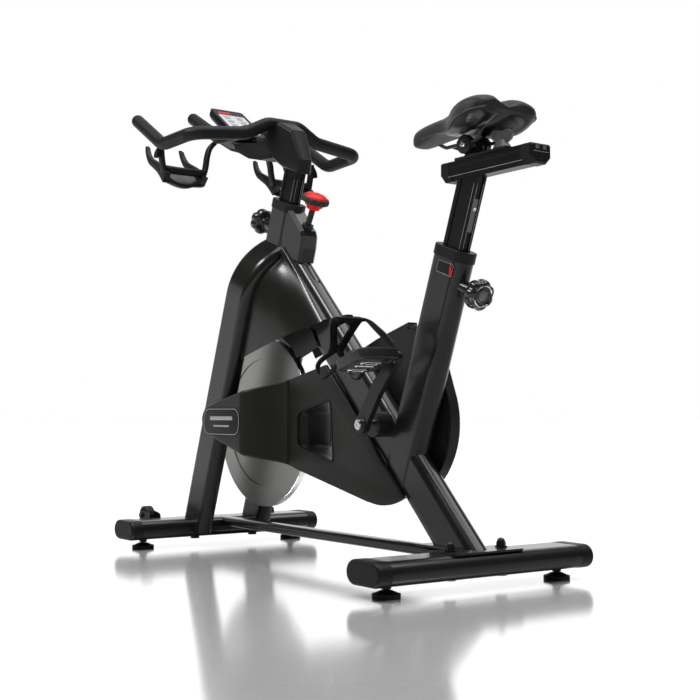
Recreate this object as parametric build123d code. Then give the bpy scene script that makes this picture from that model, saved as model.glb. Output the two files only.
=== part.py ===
from build123d import *
from math import atan2, cos, degrees, hypot, radians, sin, sqrt, tan
import os

# An indoor cycling bike. Millimetres, +X to the front, +Y to the rider's left, +Z up, floor at z = 0.
# Lengths are laid out from midway between the two stabilisers, and every finished piece is then
# moved so that x = 0 is the middle of the whole bike.

# ---- Driving dimensions --------------------------------------------------------------------
REAR_END = -668.0             # rear face of the saddle rail's end cap
FRONT_END = 582.5             # front of the transport wheels

STABILISER_X = 486.5          # stabiliser centres, in front of and behind the middle
STABILISER_Z = 45.5
STABILISER_LENGTH = 530.0
STABILISER_DEPTH = 103.0
STABILISER_HEIGHT = 45.0
STABILISER_CAP = 30.0
TUBE_WALL = 2.5

FOOT_Y = 211.5
FOOT_RADIUS = 26.0
STEM_RADIUS = 5.0
RUNNING_GAP = 0.05            # radial gap of a running fit
SLIDING_GAP = 0.3             # gap round a sliding or turning piece

BEAM_ANGLE = 45.0
BEAM_FOOT_X = -512.5          # where the beam's centreline meets the floor
BEAM_DEPTH = 98.0
BEAM_WIDTH = 44.0
PLATE_THICKNESS = 4.0
LOWER_BEAM_WIDTH = 36.0
LOWER_BEAM_HEIGHT = 22.0

MAST_LEAN = 20.4              # the seat tube, head and fork lean back by this from upright
SEAT_X, SEAT_Z = -397.5, 550.0
SEAT_TUBE_DEPTH = 98.0
SEAT_TUBE_WIDTH = 46.0
HEAD_X, HEAD_Z = 200.5, 724.0  # centre of the seam between head and fork crown
HEAD_DEPTH = 98.0
HEAD_WIDTH = 50.0
HEAD_LENGTH = 98.0
COLLAR_HEIGHT = 21.0
COLLAR_RISE = 4.0             # how far the collar's band stands above the tube's mouth
COLLAR_LIP = 2.0
COLLAR_SLEEVE = 55.0

POST_DEPTH = 56.0
POST_WIDTH = 29.0
POST_CORNER = 5.0
GROOVE_WIDTH = 13.0
GROOVE_DEPTH = 3.0

LEG_Y = 82.0
LEG_DEPTH = 98.0
LEG_WIDTH = 40.0
LEG_STRAIGHT_TOP = -135.0     # along the leg, below the crown seam, where the leg starts to curve in

AXLE_X, AXLE_Z = 270.0, 304.5
FLYWHEEL_RADIUS = 200.0
FLYWHEEL_HALF = 8.0
AXLE_RADIUS = 6.0
CRANK_X, CRANK_Z = -230.0, 304.0
CRANK_LENGTH = 170.0
CRANK_ANGLE = 130.0           # the left crank's direction, up from the front
CRANK_AXLE_RADIUS = 10.0
BELT_Y = -42.0
BELT_WIDTH = 14.0
BELT_THICKNESS = 4.0
DRIVE_PULLEY_RADIUS = 124.0
DRIVEN_PULLEY_RADIUS = 31.0

GUARD_RADIUS = 165.0
COVER_RADIUS = 156.0
COVER_WALL = 3.0
COVER_FACE_Y = 61.0
COVER_INNER_Y = 30.0
GUARD_INNER_Y = 24.0
GUARD_OUTER_Y = 34.0
CAP_OUTER_Y = 120.0
NOSE_HALF = 52.0              # the cover's nose between flywheel and fork, above and below the axle
NOSE_FACE_Y = 58.0

LEFT_ARM_Y = (69.0, 84.0)
RIGHT_ARM_Y = (-84.0, -69.0)
PEDAL_START = 11.0            # from the crank's outer face to the pedal body
PEDAL_WIDTH = 88.0
PEDAL_LENGTH = 96.0
PEDAL_ANGLE = -15.0           # the pedals' slope at rest, nose down

RAIL_FRONT, RAIL_REAR = -416.0, REAR_END
RAIL_BOTTOM, RAIL_TOP = 775.0, 811.0
RAIL_WIDTH = 50.0
CLAMP_X, CLAMP_Z = -487.0, 838.0
SADDLE_KNOB_X = -566.0

BAR_RADIUS = 15.5
HORN_RADIUS = 15.0
CONSOLE_LENGTH = 150.0
CONSOLE_WIDTH = 92.0
CONSOLE_THICKNESS = 13.0
CONSOLE_X, CONSOLE_Z = 404.0, 1051.0
CONSOLE_SLOPE = 35.8
HOLDER_Y = 152.0
HOLDER_X = 398.0

BRAKE_X, BRAKE_Z = 92.0, 744.5
BRAKE_LEAN = 29.2             # the brake rod leans back by this from upright
ROD_RADIUS = 7.0
CALIPER_X, CALIPER_Z = 112.0, 536.0

WHEEL_X, WHEEL_Z = 560.0, 72.0
WHEEL_RADIUS = 22.5
WHEEL_Y = 165.0
WHEEL_WIDTH = 22.0

CENTRE_SHIFT = -(REAR_END + FRONT_END) / 2
BIG = 2000.0

# ---- Lines and planes that the pieces are built on -----------------------------------------


def leaning_plane(x, z, lean):
    """A plane at (x, 0, z) whose normal leans back from upright; its x axis points forward."""
    back = radians(lean)
    return Plane(origin=(x, 0, z), x_dir=(cos(back), 0, sin(back)), z_dir=(-sin(back), 0, cos(back)))


SEAT_LINE = leaning_plane(SEAT_X, SEAT_Z, MAST_LEAN)
HEAD_LINE = leaning_plane(HEAD_X, HEAD_Z, MAST_LEAN)
BRAKE_LINE = leaning_plane(BRAKE_X, BRAKE_Z, BRAKE_LEAN)
BEAM_LINE = leaning_plane(BEAM_FOOT_X, 0, BEAM_ANGLE - 90)
CONSOLE_PLANE = leaning_plane(CONSOLE_X, CONSOLE_Z, CONSOLE_SLOPE)
ACROSS = Plane(origin=(0, 0, 0), x_dir=(0, 1, 0), z_dir=(1, 0, 0))


# ---- Building blocks -----------------------------------------------------------------------


def on(plane, shape):
    """Place a shape drawn at the origin onto a plane."""
    return plane.location * shape


def block(x0, x1, y0, y1, z0, z1):
    return Pos((x0 + x1) / 2, (y0 + y1) / 2, (z0 + z1) / 2) * Box(x1 - x0, y1 - y0, z1 - z0)


def prism(sketch, low, high):
    """A sketch in the XY plane made solid between two heights."""
    return Pos(0, 0, low) * extrude(sketch, high - low)


def side_prism(points, y0, y1, corner=0.0):
    """A polygon of (x, z) points, as seen from the side, made solid from y0 to y1."""
    outline = make_face(Polyline(*points, close=True))
    if corner > 0:
        outline = fillet(outline.vertices(), corner)
    return side_solid(outline, y0, y1)


def side_solid(sketch, y0, y1):
    """A sketch whose (x, y) stand for (x, z), made solid from y0 to y1."""
    plane = Plane(origin=(0, y1, 0), x_dir=(1, 0, 0), z_dir=(0, -1, 0))
    return plane.location * extrude(sketch, y1 - y0)


def side_disc(x, z, radius, y0, y1):
    return side_solid(Pos(x, z) * Circle(radius), y0, y1)


def side_ring(x, z, outer, inner, y0, y1):
    return side_disc(x, z, outer, y0, y1) - side_disc(x, z, inner, y0 - 1, y1 + 1)


def oval_bar(depth, width, low, high):
    return prism(SlotOverall(depth, width), low, high)


def oval_tube(depth, width, wall, low, high):
    return oval_bar(depth, width, low, high) - oval_bar(
        depth - 2 * wall, width - 2 * wall, low - 1, high + 1)


def rod(radius, low, high):
    return prism(Circle(radius), low, high)


def biggest(shape):
    """The main piece where a cut leaves an offcut behind."""
    return max(shape.solids(), key=lambda piece: piece.volume)


def mirrored(shape):
    return mirror(shape, about=Plane.XZ)


def both_sides(shape):
    return [shape, mirrored(shape)]


def turned(shape, x, z, degrees_up):
    """A shape drawn flat at the origin, turned nose-up by an angle and put at (x, z)."""
    return Pos(x, 0, z) * Rot(0, -degrees_up, 0) * shape


# ---- Base ----------------------------------------------------------------------------------


def stabiliser_oval(x, y0, y1, grow=0.0):
    sketch = Pos(x, STABILISER_Z) * SlotOverall(STABILISER_DEPTH + 2 * grow, STABILISER_HEIGHT + 2 * grow)
    return side_solid(sketch, y0, y1)


STABILISER_TOP = STABILISER_Z + STABILISER_HEIGHT / 2
STABILISER_FLOOR = STABILISER_Z - STABILISER_HEIGHT / 2
BASE_BOLTS = [(-STABILISER_X, 64.0), (-STABILISER_X, -64.0), (STABILISER_X - 22, LEG_Y),
              (STABILISER_X - 22, -LEG_Y)]
BOLT_RADIUS = 5.0


def base_bolt(x, y):
    """A carriage bolt from under a stabiliser; the rear ones end in a washer and a domed nut."""
    shaft_top = STABILISER_TOP + PLATE_THICKNESS if x < 0 else STABILISER_TOP
    bolt = Pos(x, y) * (rod(BOLT_RADIUS, STABILISER_FLOOR, shaft_top)
                        + rod(11.0, STABILISER_FLOOR - 5, STABILISER_FLOOR))
    if x < 0:
        washer = rod(12.0, shaft_top, shaft_top + 2)
        nut = prism(RegularPolygon(9.5, 6), shaft_top + 2, shaft_top + 10)
        dome = Pos(0, 0, shaft_top + 10) * (Sphere(8.0) - Pos(0, 0, -10) * Box(20, 20, 20))
        bolt += Pos(x, y) * (washer + nut + dome)
    return bolt


def stabiliser(x):
    half = STABILISER_LENGTH / 2 - STABILISER_CAP
    tube = stabiliser_oval(x, -half, half) - stabiliser_oval(x, -half - 1, half + 1, -TUBE_WALL)
    for y in (-FOOT_Y, FOOT_Y):
        tube -= Pos(x, y) * rod(STEM_RADIUS + RUNNING_GAP, 0, STABILISER_Z)
    for bolt_x, y in BASE_BOLTS:
        if bolt_x * x > 0:
            tube -= Pos(bolt_x, y) * rod(BOLT_RADIUS, 0, STABILISER_TOP + 1)
    return tube


def stabiliser_cap(x):
    half = STABILISER_LENGTH / 2
    cap = stabiliser_oval(x, half - STABILISER_CAP, half, 0.6)
    cap = fillet(cap.edges().group_by(Axis.Y)[-1], 7.0)
    spigot = stabiliser_oval(x, half - STABILISER_CAP - 10, half - STABILISER_CAP, -TUBE_WALL)
    return cap + spigot


def levelling_foot(x, y):
    pad = rod(FOOT_RADIUS, 0, 7) + Pos(0, 0, 10) * Cone(FOOT_RADIUS - 2, 11, 6)
    pad = pad + rod(STEM_RADIUS, 13, STABILISER_Z - 4) + prism(RegularPolygon(9, 6), 15, 20)
    return Pos(x, y) * pad


def rear_base_plate():
    plate = Pos(-STABILISER_X + 48, 0) * prism(
        RectangleRounded(182, 172, 8), STABILISER_TOP, STABILISER_TOP + PLATE_THICKNESS)
    plate -= block(-STABILISER_X + 32, -300, 31, 200, 0, 200)
    plate -= block(-STABILISER_X + 32, -300, -200, -31, 0, 200)
    for x, y in BASE_BOLTS:
        plate -= Pos(x, y) * rod(BOLT_RADIUS, 0, 200)
    return plate


def lower_beam():
    height = STABILISER_TOP - LOWER_BEAM_HEIGHT / 2
    plane = Plane(origin=(-STABILISER_X, 0, height), x_dir=(0, 1, 0), z_dir=(1, 0, 0))
    beam = on(plane, oval_tube(LOWER_BEAM_WIDTH, LOWER_BEAM_HEIGHT, TUBE_WALL, 0, 2 * STABILISER_X))
    for x in (-STABILISER_X, STABILISER_X):
        beam -= stabiliser_oval(x, -100, 100)
    return biggest(beam)


def wheel_bracket():
    """Two ears on the front stabiliser that hold one transport wheel's bolt."""
    ears = []
    for y0 in (WHEEL_Y - WHEEL_WIDTH / 2 - 4, WHEEL_Y + WHEEL_WIDTH / 2 + 1):
        ear = side_prism([(WHEEL_X - 48, 56), (WHEEL_X - 20, 44), (WHEEL_X + 11, 66), (WHEEL_X + 8, 82),
                          (WHEEL_X - 8, 84), (WHEEL_X - 42, 78)], y0, y0 + 3, 4)
        ears.append(biggest(ear - stabiliser_oval(STABILISER_X, -300, 300)))
    bolt = side_disc(WHEEL_X, WHEEL_Z, 4, WHEEL_Y - WHEEL_WIDTH / 2 - 4, WHEEL_Y + WHEEL_WIDTH / 2 + 4)
    bolt += side_disc(WHEEL_X, WHEEL_Z, 7, WHEEL_Y + WHEEL_WIDTH / 2 + 4, WHEEL_Y + WHEEL_WIDTH / 2 + 8)
    return [ears[0] + bolt + ears[1]]


def transport_wheel():
    low, high = WHEEL_Y - WHEEL_WIDTH / 2, WHEEL_Y + WHEEL_WIDTH / 2
    wheel = side_disc(WHEEL_X, WHEEL_Z, WHEEL_RADIUS, low, high)
    wheel = fillet(wheel.edges(), 3.0)
    wheel -= side_ring(WHEEL_X, WHEEL_Z, 16, 9, high - 4, high + 5)
    wheel -= side_ring(WHEEL_X, WHEEL_Z, 16, 9, low - 5, low + 4)
    return wheel - side_disc(WHEEL_X, WHEEL_Z, 4 + RUNNING_GAP, low - 5, high + 5)


# ---- Frame ---------------------------------------------------------------------------------


def post_profile(grow=0.0):
    """The flat aluminium post: a rounded rectangle with a groove at the back and on both sides."""
    if grow > 0:
        return RectangleRounded(POST_DEPTH + 2 * grow, POST_WIDTH + 2 * grow, POST_CORNER)
    profile = RectangleRounded(POST_DEPTH, POST_WIDTH, POST_CORNER)
    rear = Pos(-POST_DEPTH / 2, 0) * Rectangle(2 * GROOVE_DEPTH, GROOVE_WIDTH)
    profile -= rear
    for side in (1, -1):
        profile -= Pos(2, side * POST_WIDTH / 2) * Rectangle(24, 2 * 1.5)
    return profile


def post_hole(plane, low, high):
    return on(plane, prism(post_profile(SLIDING_GAP), low, high))


def leg_path(bottom):
    """The leg's centreline: straight up, then curving in to the bike's middle plane."""
    plane = Plane(origin=HEAD_LINE.origin, x_dir=(0, 1, 0), z_dir=HEAD_LINE.x_dir)
    rise = -LEG_STRAIGHT_TOP
    reach = LEG_Y + LEG_WIDTH / 2 - HEAD_WIDTH / 2
    radius = (reach ** 2 + rise ** 2) / (2 * reach) - LEG_WIDTH / 2
    centre = LEG_Y - radius
    turn = degrees(atan2(sqrt(radius ** 2 - centre ** 2), -centre)) + 6
    straight = Line((LEG_Y, bottom), (LEG_Y, LEG_STRAIGHT_TOP))
    bend = CenterArc((centre, LEG_STRAIGHT_TOP), radius, 0, turn)
    return plane, straight + bend


LEG_BOTTOM = -738.0


def swept_leg(depth, width):
    plane, path = leg_path(LEG_BOTTOM - 20)
    placed = plane.location * path
    section_plane = Plane(origin=placed @ 0, x_dir=HEAD_LINE.x_dir, z_dir=HEAD_LINE.z_dir)
    return sweep(section_plane * SlotOverall(depth, width), path=placed)


LEG_OUTER = swept_leg(LEG_DEPTH, LEG_WIDTH)
LEG_INNER = swept_leg(LEG_DEPTH - 2 * TUBE_WALL, LEG_WIDTH - 2 * TUBE_WALL)
ABOVE_SEAM = on(HEAD_LINE, block(-200, 200, -200, 200, 0, 400))
RIGHT_HALF = block(-BIG, BIG, -BIG, 0, -BIG, BIG)
DROPOUT_Y = (76.0, 84.0)


def fork_left():
    """The left half of the wishbone fork, with the dropout plate that holds the axle."""
    leg = LEG_OUTER - LEG_INNER - ABOVE_SEAM - RIGHT_HALF
    leg -= post_hole(HEAD_LINE, -140, 10)
    dropout = side_prism([(AXLE_X - 18, AXLE_Z - 22), (AXLE_X + 60, AXLE_Z - 30),
                          (AXLE_X + 60, AXLE_Z + 30), (AXLE_X - 18, AXLE_Z + 22)], *DROPOUT_Y, 8)
    leg += dropout - LEG_OUTER
    leg -= side_disc(AXLE_X, AXLE_Z, AXLE_RADIUS, 0, 300)
    leg -= stabiliser_oval(STABILISER_X, -300, 300)
    leg -= block(0, 800, 0, 300, -100, STABILISER_Z - 12)
    return biggest(leg)


HEAD_SOLID = on(HEAD_LINE, oval_bar(HEAD_DEPTH, HEAD_WIDTH, 0, HEAD_LENGTH))
BEAM_SOLID = on(BEAM_LINE, oval_bar(BEAM_DEPTH, BEAM_WIDTH, 20, 1100))
SEAT_SOLID = on(SEAT_LINE, oval_bar(SEAT_TUBE_DEPTH, SEAT_TUBE_WIDTH, -400, 100))
ROD_HOLE = on(BRAKE_LINE, rod(ROD_RADIUS + 2, -240, 60))
BUSH_RADIUS = 13.0
BUSH_HOLE = on(BRAKE_LINE, rod(BUSH_RADIUS, -22, 60))


def main_beam():
    """The long beam from the rear stabiliser up to the head."""
    beam = BEAM_SOLID - on(BEAM_LINE, oval_bar(
        BEAM_DEPTH - 2 * TUBE_WALL, BEAM_WIDTH - 2 * TUBE_WALL, 0, 1200))
    beam -= block(-BIG, BIG, -BIG, BIG, -BIG, STABILISER_TOP + PLATE_THICKNESS)
    beam -= on(HEAD_LINE, oval_bar(HEAD_DEPTH, HEAD_WIDTH, -1, 500))
    beam -= on(HEAD_LINE, block(0, 400, -200, 200, -60, 500))
    beam -= LEG_OUTER + mirrored(LEG_OUTER)
    beam -= post_hole(HEAD_LINE, -140, 10) + ROD_HOLE
    beam -= side_disc(CRANK_X, CRANK_Z, HOUSING_RADIUS, -100, 100)
    return biggest(beam)


def seat_tube():
    tube = on(SEAT_LINE, oval_tube(SEAT_TUBE_DEPTH, SEAT_TUBE_WIDTH, TUBE_WALL, -400, 100))
    tube -= BEAM_SOLID
    tube = biggest(tube)
    boss = on(SEAT_PIN_LINE, rod(PIN_BOSS_RADIUS, SEAT_TUBE_DEPTH / 2 - 3, SEAT_TUBE_DEPTH / 2 + PIN_BOSS_LENGTH))
    boss -= on(SEAT_LINE, oval_bar(SEAT_TUBE_DEPTH - 2 * TUBE_WALL, SEAT_TUBE_WIDTH - 2 * TUBE_WALL, -400, 200))
    return tube + boss - on(SEAT_PIN_LINE, rod(PIN_RADIUS + RUNNING_GAP, 0, 200))


def head_tube():
    """The head that holds the handlebar post, with its gusset and the front pin's boss."""
    head = HEAD_SOLID
    gusset = side_prism([(160, 802), (134, 802), (78, 741), (74, 728), (79, 700), (90, 668), (160, 700)],
                        -HEAD_WIDTH / 2 + 2, HEAD_WIDTH / 2 - 2)
    gusset = chamfer(gusset.edges().filter_by(Plane.XZ).sort_by(Axis.X)[:8], 7.0)
    gusset -= BEAM_SOLID + LEG_OUTER + mirrored(LEG_OUTER)
    gusset -= on(HEAD_LINE, oval_bar(HEAD_DEPTH + 2 * COLLAR_LIP, HEAD_WIDTH + 2 * COLLAR_LIP,
                                     HEAD_LENGTH + COLLAR_RISE - COLLAR_HEIGHT, 2 * HEAD_LENGTH))
    head += biggest(gusset)
    head += on(HEAD_PIN_LINE, rod(PIN_BOSS_RADIUS, HEAD_DEPTH / 2 - 3, HEAD_DEPTH / 2 + HEAD_BOSS_LENGTH))
    head -= on(HEAD_LINE, oval_bar(HEAD_DEPTH - 2 * TUBE_WALL, HEAD_WIDTH - 2 * TUBE_WALL, -5, 300))
    head -= on(HEAD_PIN_LINE, rod(PIN_RADIUS + RUNNING_GAP, 0, 200))
    return biggest(head - ROD_HOLE - BUSH_HOLE)


def post_collar(plane, top, depth, width):
    """A moulded guide: a band round the tube's mouth and a sleeve inside it."""
    band = oval_bar(depth + 2 * COLLAR_LIP, width + 2 * COLLAR_LIP, top + COLLAR_RISE - COLLAR_HEIGHT,
                    top + COLLAR_RISE)
    band = fillet(band.edges().group_by(Axis.Z)[-1], 2.0)
    band -= oval_bar(depth, width, top - COLLAR_HEIGHT, top)
    sleeve = oval_bar(depth - 2 * TUBE_WALL, width - 2 * TUBE_WALL, top - COLLAR_SLEEVE, top + 1)
    collar = on(plane, band + sleeve)
    return collar - post_hole(plane, top - 100, top + 50)


HOUSING_RADIUS = 26.0
HOUSING_LEFT, HOUSING_RIGHT = 52.0, -26.0
BEARING_RADIUS = 20.0
BEARING_WIDTH = 12.0


def crank_housing():
    """The bottom bracket: a tube across the beam with a bearing in each end."""
    housing = side_ring(CRANK_X, CRANK_Z, HOUSING_RADIUS, BEARING_RADIUS, HOUSING_RIGHT, HOUSING_LEFT)
    bearings = [side_ring(CRANK_X, CRANK_Z, BEARING_RADIUS, CRANK_AXLE_RADIUS + RUNNING_GAP, y, y + BEARING_WIDTH)
                for y in (HOUSING_RIGHT, HOUSING_LEFT - BEARING_WIDTH)]
    return [housing] + bearings


HOOD_WALL = 2.5
HOOD_STATIONS = 9
HOOD_FOOT = (-18.0, 525.0)    # (x, z) of the hood's lowest corner on the beam's side
HOOD_HEAD = (160.0, 703.0)    # (x, z) of its highest corner, beside the head
HOOD_LEG_LOW = -276.0         # where the hood's lower edge meets the leg, along the leg


def flywheel_hood():
    """A pair of thin panels from the fork's rear edges in to the beam's sides, over the flywheel."""
    plane, path = leg_path(HOOD_LEG_LOW)
    sections = []
    for step in range(HOOD_STATIONS):
        share = step / (HOOD_STATIONS - 1)
        at = path @ (share * 0.97)
        leg = HEAD_LINE.from_local_coords((-LEG_DEPTH / 2 + 8, at.X, at.Y))
        beam = Vector(HOOD_FOOT[0] + share * (HOOD_HEAD[0] - HOOD_FOOT[0]), BEAM_WIDTH / 2 + HOOD_WALL + 1.2,
                      HOOD_FOOT[1] + share * (HOOD_HEAD[1] - HOOD_FOOT[1]))
        outside = [leg, leg + (beam - leg) * 0.5 + Vector(0, 5 * (1 - share), 0), beam]
        inside = [point - Vector(0, HOOD_WALL, 0) for point in reversed(outside)]
        sections.append(make_face(Polyline(*outside, *inside, close=True)))
    panel = loft(sections, ruled=True)
    return both_sides(biggest(panel - LEG_OUTER - BEAM_SOLID - HEAD_SOLID))


# ---- Guards and drive ----------------------------------------------------------------------

WINDOW = [(81, 328), (80, 249), (-66, 219), (-54, 357)]


def guard_outline():
    """The left guard's side view: a disc round the cranks and an arm that runs forward."""
    arm = make_face(Polyline((CRANK_X + 40, CRANK_Z + GUARD_RADIUS - 5), (8, 423.5), (118, 401), (118, 210),
                             (77, 199), (-188, 143), (CRANK_X, CRANK_Z - GUARD_RADIUS + 8), close=True))
    return Pos(CRANK_X, CRANK_Z) * Circle(GUARD_RADIUS) + arm


def cover_outline(inset):
    """The drive cover's side view: an egg round the cranks and an arm that runs forward."""
    egg = make_hull((Pos(CRANK_X + 6, CRANK_Z + 3) * Circle(COVER_RADIUS - inset)).edges()
                    + (Pos(CRANK_X - 15, CRANK_Z + 108) * Circle(98 - inset)).edges())
    arm = make_face(Polyline((-245, 515 - inset), (-136, 485 - inset), (8, 434 - inset), (118 - inset, 402 - inset),
                             (118 - inset, 210 + inset), (77, 199 + inset), (-178, 150 + inset),
                             (-225, 180), close=True))
    return egg + arm


def window_outline(grow):
    outline = fillet(make_face(Polyline(*WINDOW, close=True)).vertices(), 12.0)
    return offset(outline, grow) if grow else outline


def guard_cap(wall):
    """The flare out from the arm and the cap over the fork leg, for the left side."""
    flare = loft([
        ACROSS.offset(114) * (Pos((GUARD_INNER_Y + GUARD_OUTER_Y) / 2, 305.5)
                              * Rectangle(GUARD_OUTER_Y - GUARD_INNER_Y, 191)),
        ACROSS.offset(176) * (Pos(CAP_OUTER_Y - wall - 3, 304.5) * Rectangle(2 * wall + 6, 135))], ruled=True)
    cap = side_prism([(174, 237), (360, 283), (360, 339), (174, 372)], LEG_Y + LEG_WIDTH / 2 + 0.5, CAP_OUTER_Y)
    cap = fillet(cap.edges().filter_by(Axis.Y).sort_by(Axis.X)[-2:], 22.0)
    cap = chamfer(cap.faces().sort_by(Axis.Y)[-1].edges().sort_by(Axis.X)[1:], 4.0)
    hollow = side_prism([(180, 243), (352, 288), (352, 334), (180, 366)], 80, CAP_OUTER_Y - wall)
    return flare + (cap - hollow)


def left_guard():
    plate = side_solid(guard_outline(), GUARD_INNER_Y, GUARD_OUTER_Y)
    plate -= side_solid(window_outline(0), 0, 100)
    plate -= side_disc(CRANK_X, CRANK_Z, HOUSING_RADIUS + 1, 0, 100)
    plate -= SEAT_SOLID
    guard = plate + guard_cap(COVER_WALL)
    behind_beam = on(BEAM_LINE, block(-BIG, BEAM_DEPTH / 2 - 14, -50, 200, -50, 1500))
    return biggest(guard - behind_beam)


def drive_cover():
    """The belt's outer casing, an open-backed shell with a tunnel round the window."""
    shell = side_solid(cover_outline(0), -COVER_FACE_Y, -COVER_INNER_Y)
    shell = chamfer(shell.faces().sort_by(Axis.Y)[0].edges(), 8.0)
    shell -= side_solid(cover_outline(9), -COVER_FACE_Y + COVER_WALL, 0)
    tunnel = side_solid(window_outline(COVER_WALL) - window_outline(0), -COVER_FACE_Y + 1, -COVER_INNER_Y)
    shell = shell + tunnel - side_solid(window_outline(0), -200, 0)
    shell += nose_solid(NOSE_HALF, -NOSE_FACE_Y, -COVER_INNER_Y)
    shell -= nose_solid(NOSE_HALF - COVER_WALL, -NOSE_FACE_Y + COVER_WALL, 0)
    flare = loft([
        ACROSS.offset(112) * (Pos(-COVER_FACE_Y + 5, 305.5) * Rectangle(8, 170)),
        ACROSS.offset(176) * (Pos(-CAP_OUTER_Y + 6, 304.5) * Rectangle(12, 135))], ruled=True)
    cap = mirrored(guard_cap(COVER_WALL)) - block(-BIG, 175.5, -200, 0, 0, 1000)
    shell = shell + flare + cap
    shell -= side_disc(CRANK_X, CRANK_Z, CRANK_AXLE_RADIUS + 9, -200, -50)
    shell -= side_disc(AXLE_X, AXLE_Z, AXLE_RADIUS + 1, -100, -40)
    return biggest(shell)


def nose_solid(half_height, y0, y1):
    """The part of the drive cover that runs between flywheel and fork to the axle."""
    nose = side_prism([(100, AXLE_Z - half_height - 20), (AXLE_X, AXLE_Z - half_height),
                       (AXLE_X, AXLE_Z + half_height), (100, AXLE_Z + half_height + 20)], y0, y1)
    return nose + side_disc(AXLE_X, AXLE_Z, half_height, y0, y1)


def drive_cover_back():
    """The casing's flat back, between the belt and the flywheel."""
    y0, y1 = -COVER_INNER_Y + 0.3, -COVER_INNER_Y + 2.8
    plate = side_solid(cover_outline(9.3), y0, y1) + nose_solid(NOSE_HALF - COVER_WALL, y0, y1)
    plate -= side_solid(window_outline(COVER_WALL + 0.3), -200, 0)
    plate -= side_disc(CRANK_X, CRANK_Z, CRANK_AXLE_RADIUS + 4, -200, 0)
    return biggest(plate - side_disc(AXLE_X, AXLE_Z, HUB_RADIUS + 1.5, -200, 0))


HUB_RADIUS = 20.0
HUB_BORE = 15.0


def flywheel_axle():
    axle = side_disc(AXLE_X, AXLE_Z, AXLE_RADIUS, -92, 92)
    nuts = []
    for side in (1, -1):
        for y in (DROPOUT_Y[0] - 6, DROPOUT_Y[1]):
            low, high = sorted((side * y, side * (y + 6)))
            nuts.append(side_solid(Pos(AXLE_X, AXLE_Z) * RegularPolygon(11, 6), low, high))
    for nut in nuts:
        axle += nut
    return axle


def flywheel():
    """A cast disc with a thick machined rim."""
    rim = side_ring(AXLE_X, AXLE_Z, FLYWHEEL_RADIUS, 150, -FLYWHEEL_HALF, FLYWHEEL_HALF)
    web = side_ring(AXLE_X, AXLE_Z, 151, HUB_RADIUS, -6, 6)
    rim = chamfer(rim.edges().filter_by(GeomType.CIRCLE).group_by(SortBy.RADIUS)[-1], 1.5)
    return rim + web


def flywheel_hub():
    """The hub, its driven pulley and its two bearings."""
    hub = side_disc(AXLE_X, AXLE_Z, HUB_RADIUS, -52, 22) + side_disc(AXLE_X, AXLE_Z, 42, 6, 10)
    hub += pulley(AXLE_X, AXLE_Z, DRIVEN_PULLEY_RADIUS, HUB_BORE)
    hub -= side_disc(AXLE_X, AXLE_Z, HUB_BORE, -100, 100)
    bearings = [side_ring(AXLE_X, AXLE_Z, HUB_BORE, AXLE_RADIUS + RUNNING_GAP, y, y + 9) for y in (-50, 12)]
    return [hub] + bearings


def pulley(x, z, radius, bore):
    """A grooved belt pulley with a small flange on each side."""
    half = BELT_WIDTH / 2 + 1
    wheel = side_ring(x, z, radius, bore, BELT_Y - half, BELT_Y + half)
    for y in (BELT_Y - half - 2, BELT_Y + half):
        wheel += side_ring(x, z, radius + 3, bore, y, y + 2)
    return wheel


def drive_pulley():
    wheel = pulley(CRANK_X, CRANK_Z, DRIVE_PULLEY_RADIUS, CRANK_AXLE_RADIUS)
    half = BELT_WIDTH / 2 + 3
    for side in (-1, 1):
        y0, y1 = sorted((BELT_Y + side * 4, BELT_Y + side * (half + 1)))
        wheel -= side_ring(CRANK_X, CRANK_Z, DRIVE_PULLEY_RADIUS - 12, 30, y0, y1)
    holes = PolarLocations(66, 6)
    for place in holes:
        spot = place.position
        wheel -= side_disc(CRANK_X + spot.X, CRANK_Z + spot.Y, 17, -100, 0)
    return wheel


def belt_outline(grow):
    """The closed line round both pulleys at a distance from them."""
    big, small = DRIVE_PULLEY_RADIUS + grow, DRIVEN_PULLEY_RADIUS + grow
    return make_hull(((Pos(CRANK_X, CRANK_Z) * Circle(big)).edges()
                      + (Pos(AXLE_X, AXLE_Z) * Circle(small)).edges()))


def drive_belt():
    sketch = belt_outline(SLIDING_GAP + BELT_THICKNESS) - belt_outline(SLIDING_GAP)
    return side_solid(sketch, BELT_Y - BELT_WIDTH / 2, BELT_Y + BELT_WIDTH / 2)


def crank_axle():
    return side_disc(CRANK_X, CRANK_Z, CRANK_AXLE_RADIUS, RIGHT_ARM_Y[0] + 2, LEFT_ARM_Y[1] - 2)


def crank_arm(y0, y1, angle):
    """A forged arm: a boss at each end and a tapered blade between them."""
    end_x = CRANK_X + CRANK_LENGTH * cos(radians(angle))
    end_z = CRANK_Z + CRANK_LENGTH * sin(radians(angle))
    bow_x = CRANK_X + 0.5 * CRANK_LENGTH * cos(radians(angle)) + 7 * sin(radians(angle))
    bow_z = CRANK_Z + 0.5 * CRANK_LENGTH * sin(radians(angle)) - 7 * cos(radians(angle))
    bow = (Pos(bow_x, bow_z) * Circle(16)).edges()
    blade = make_hull((Pos(CRANK_X, CRANK_Z) * Circle(17)).edges() + bow)
    blade += make_hull((Pos(end_x, end_z) * Circle(13)).edges() + bow)
    arm = side_solid(blade, y0 + 1.5, y1 - 1.5)
    arm += side_disc(CRANK_X, CRANK_Z, 18, y0, y1) + side_disc(end_x, end_z, 14, y0, y1)
    arm -= side_disc(CRANK_X, CRANK_Z, CRANK_AXLE_RADIUS, y0 + 2 if y0 < 0 else y0 - 1, y1 - 2 if y0 > 0 else y1 + 1)
    return arm - side_disc(end_x, end_z, PEDAL_AXLE_RADIUS, y0 - 1, y1 + 1)


PEDAL_AXLE_RADIUS = 7.0


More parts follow.
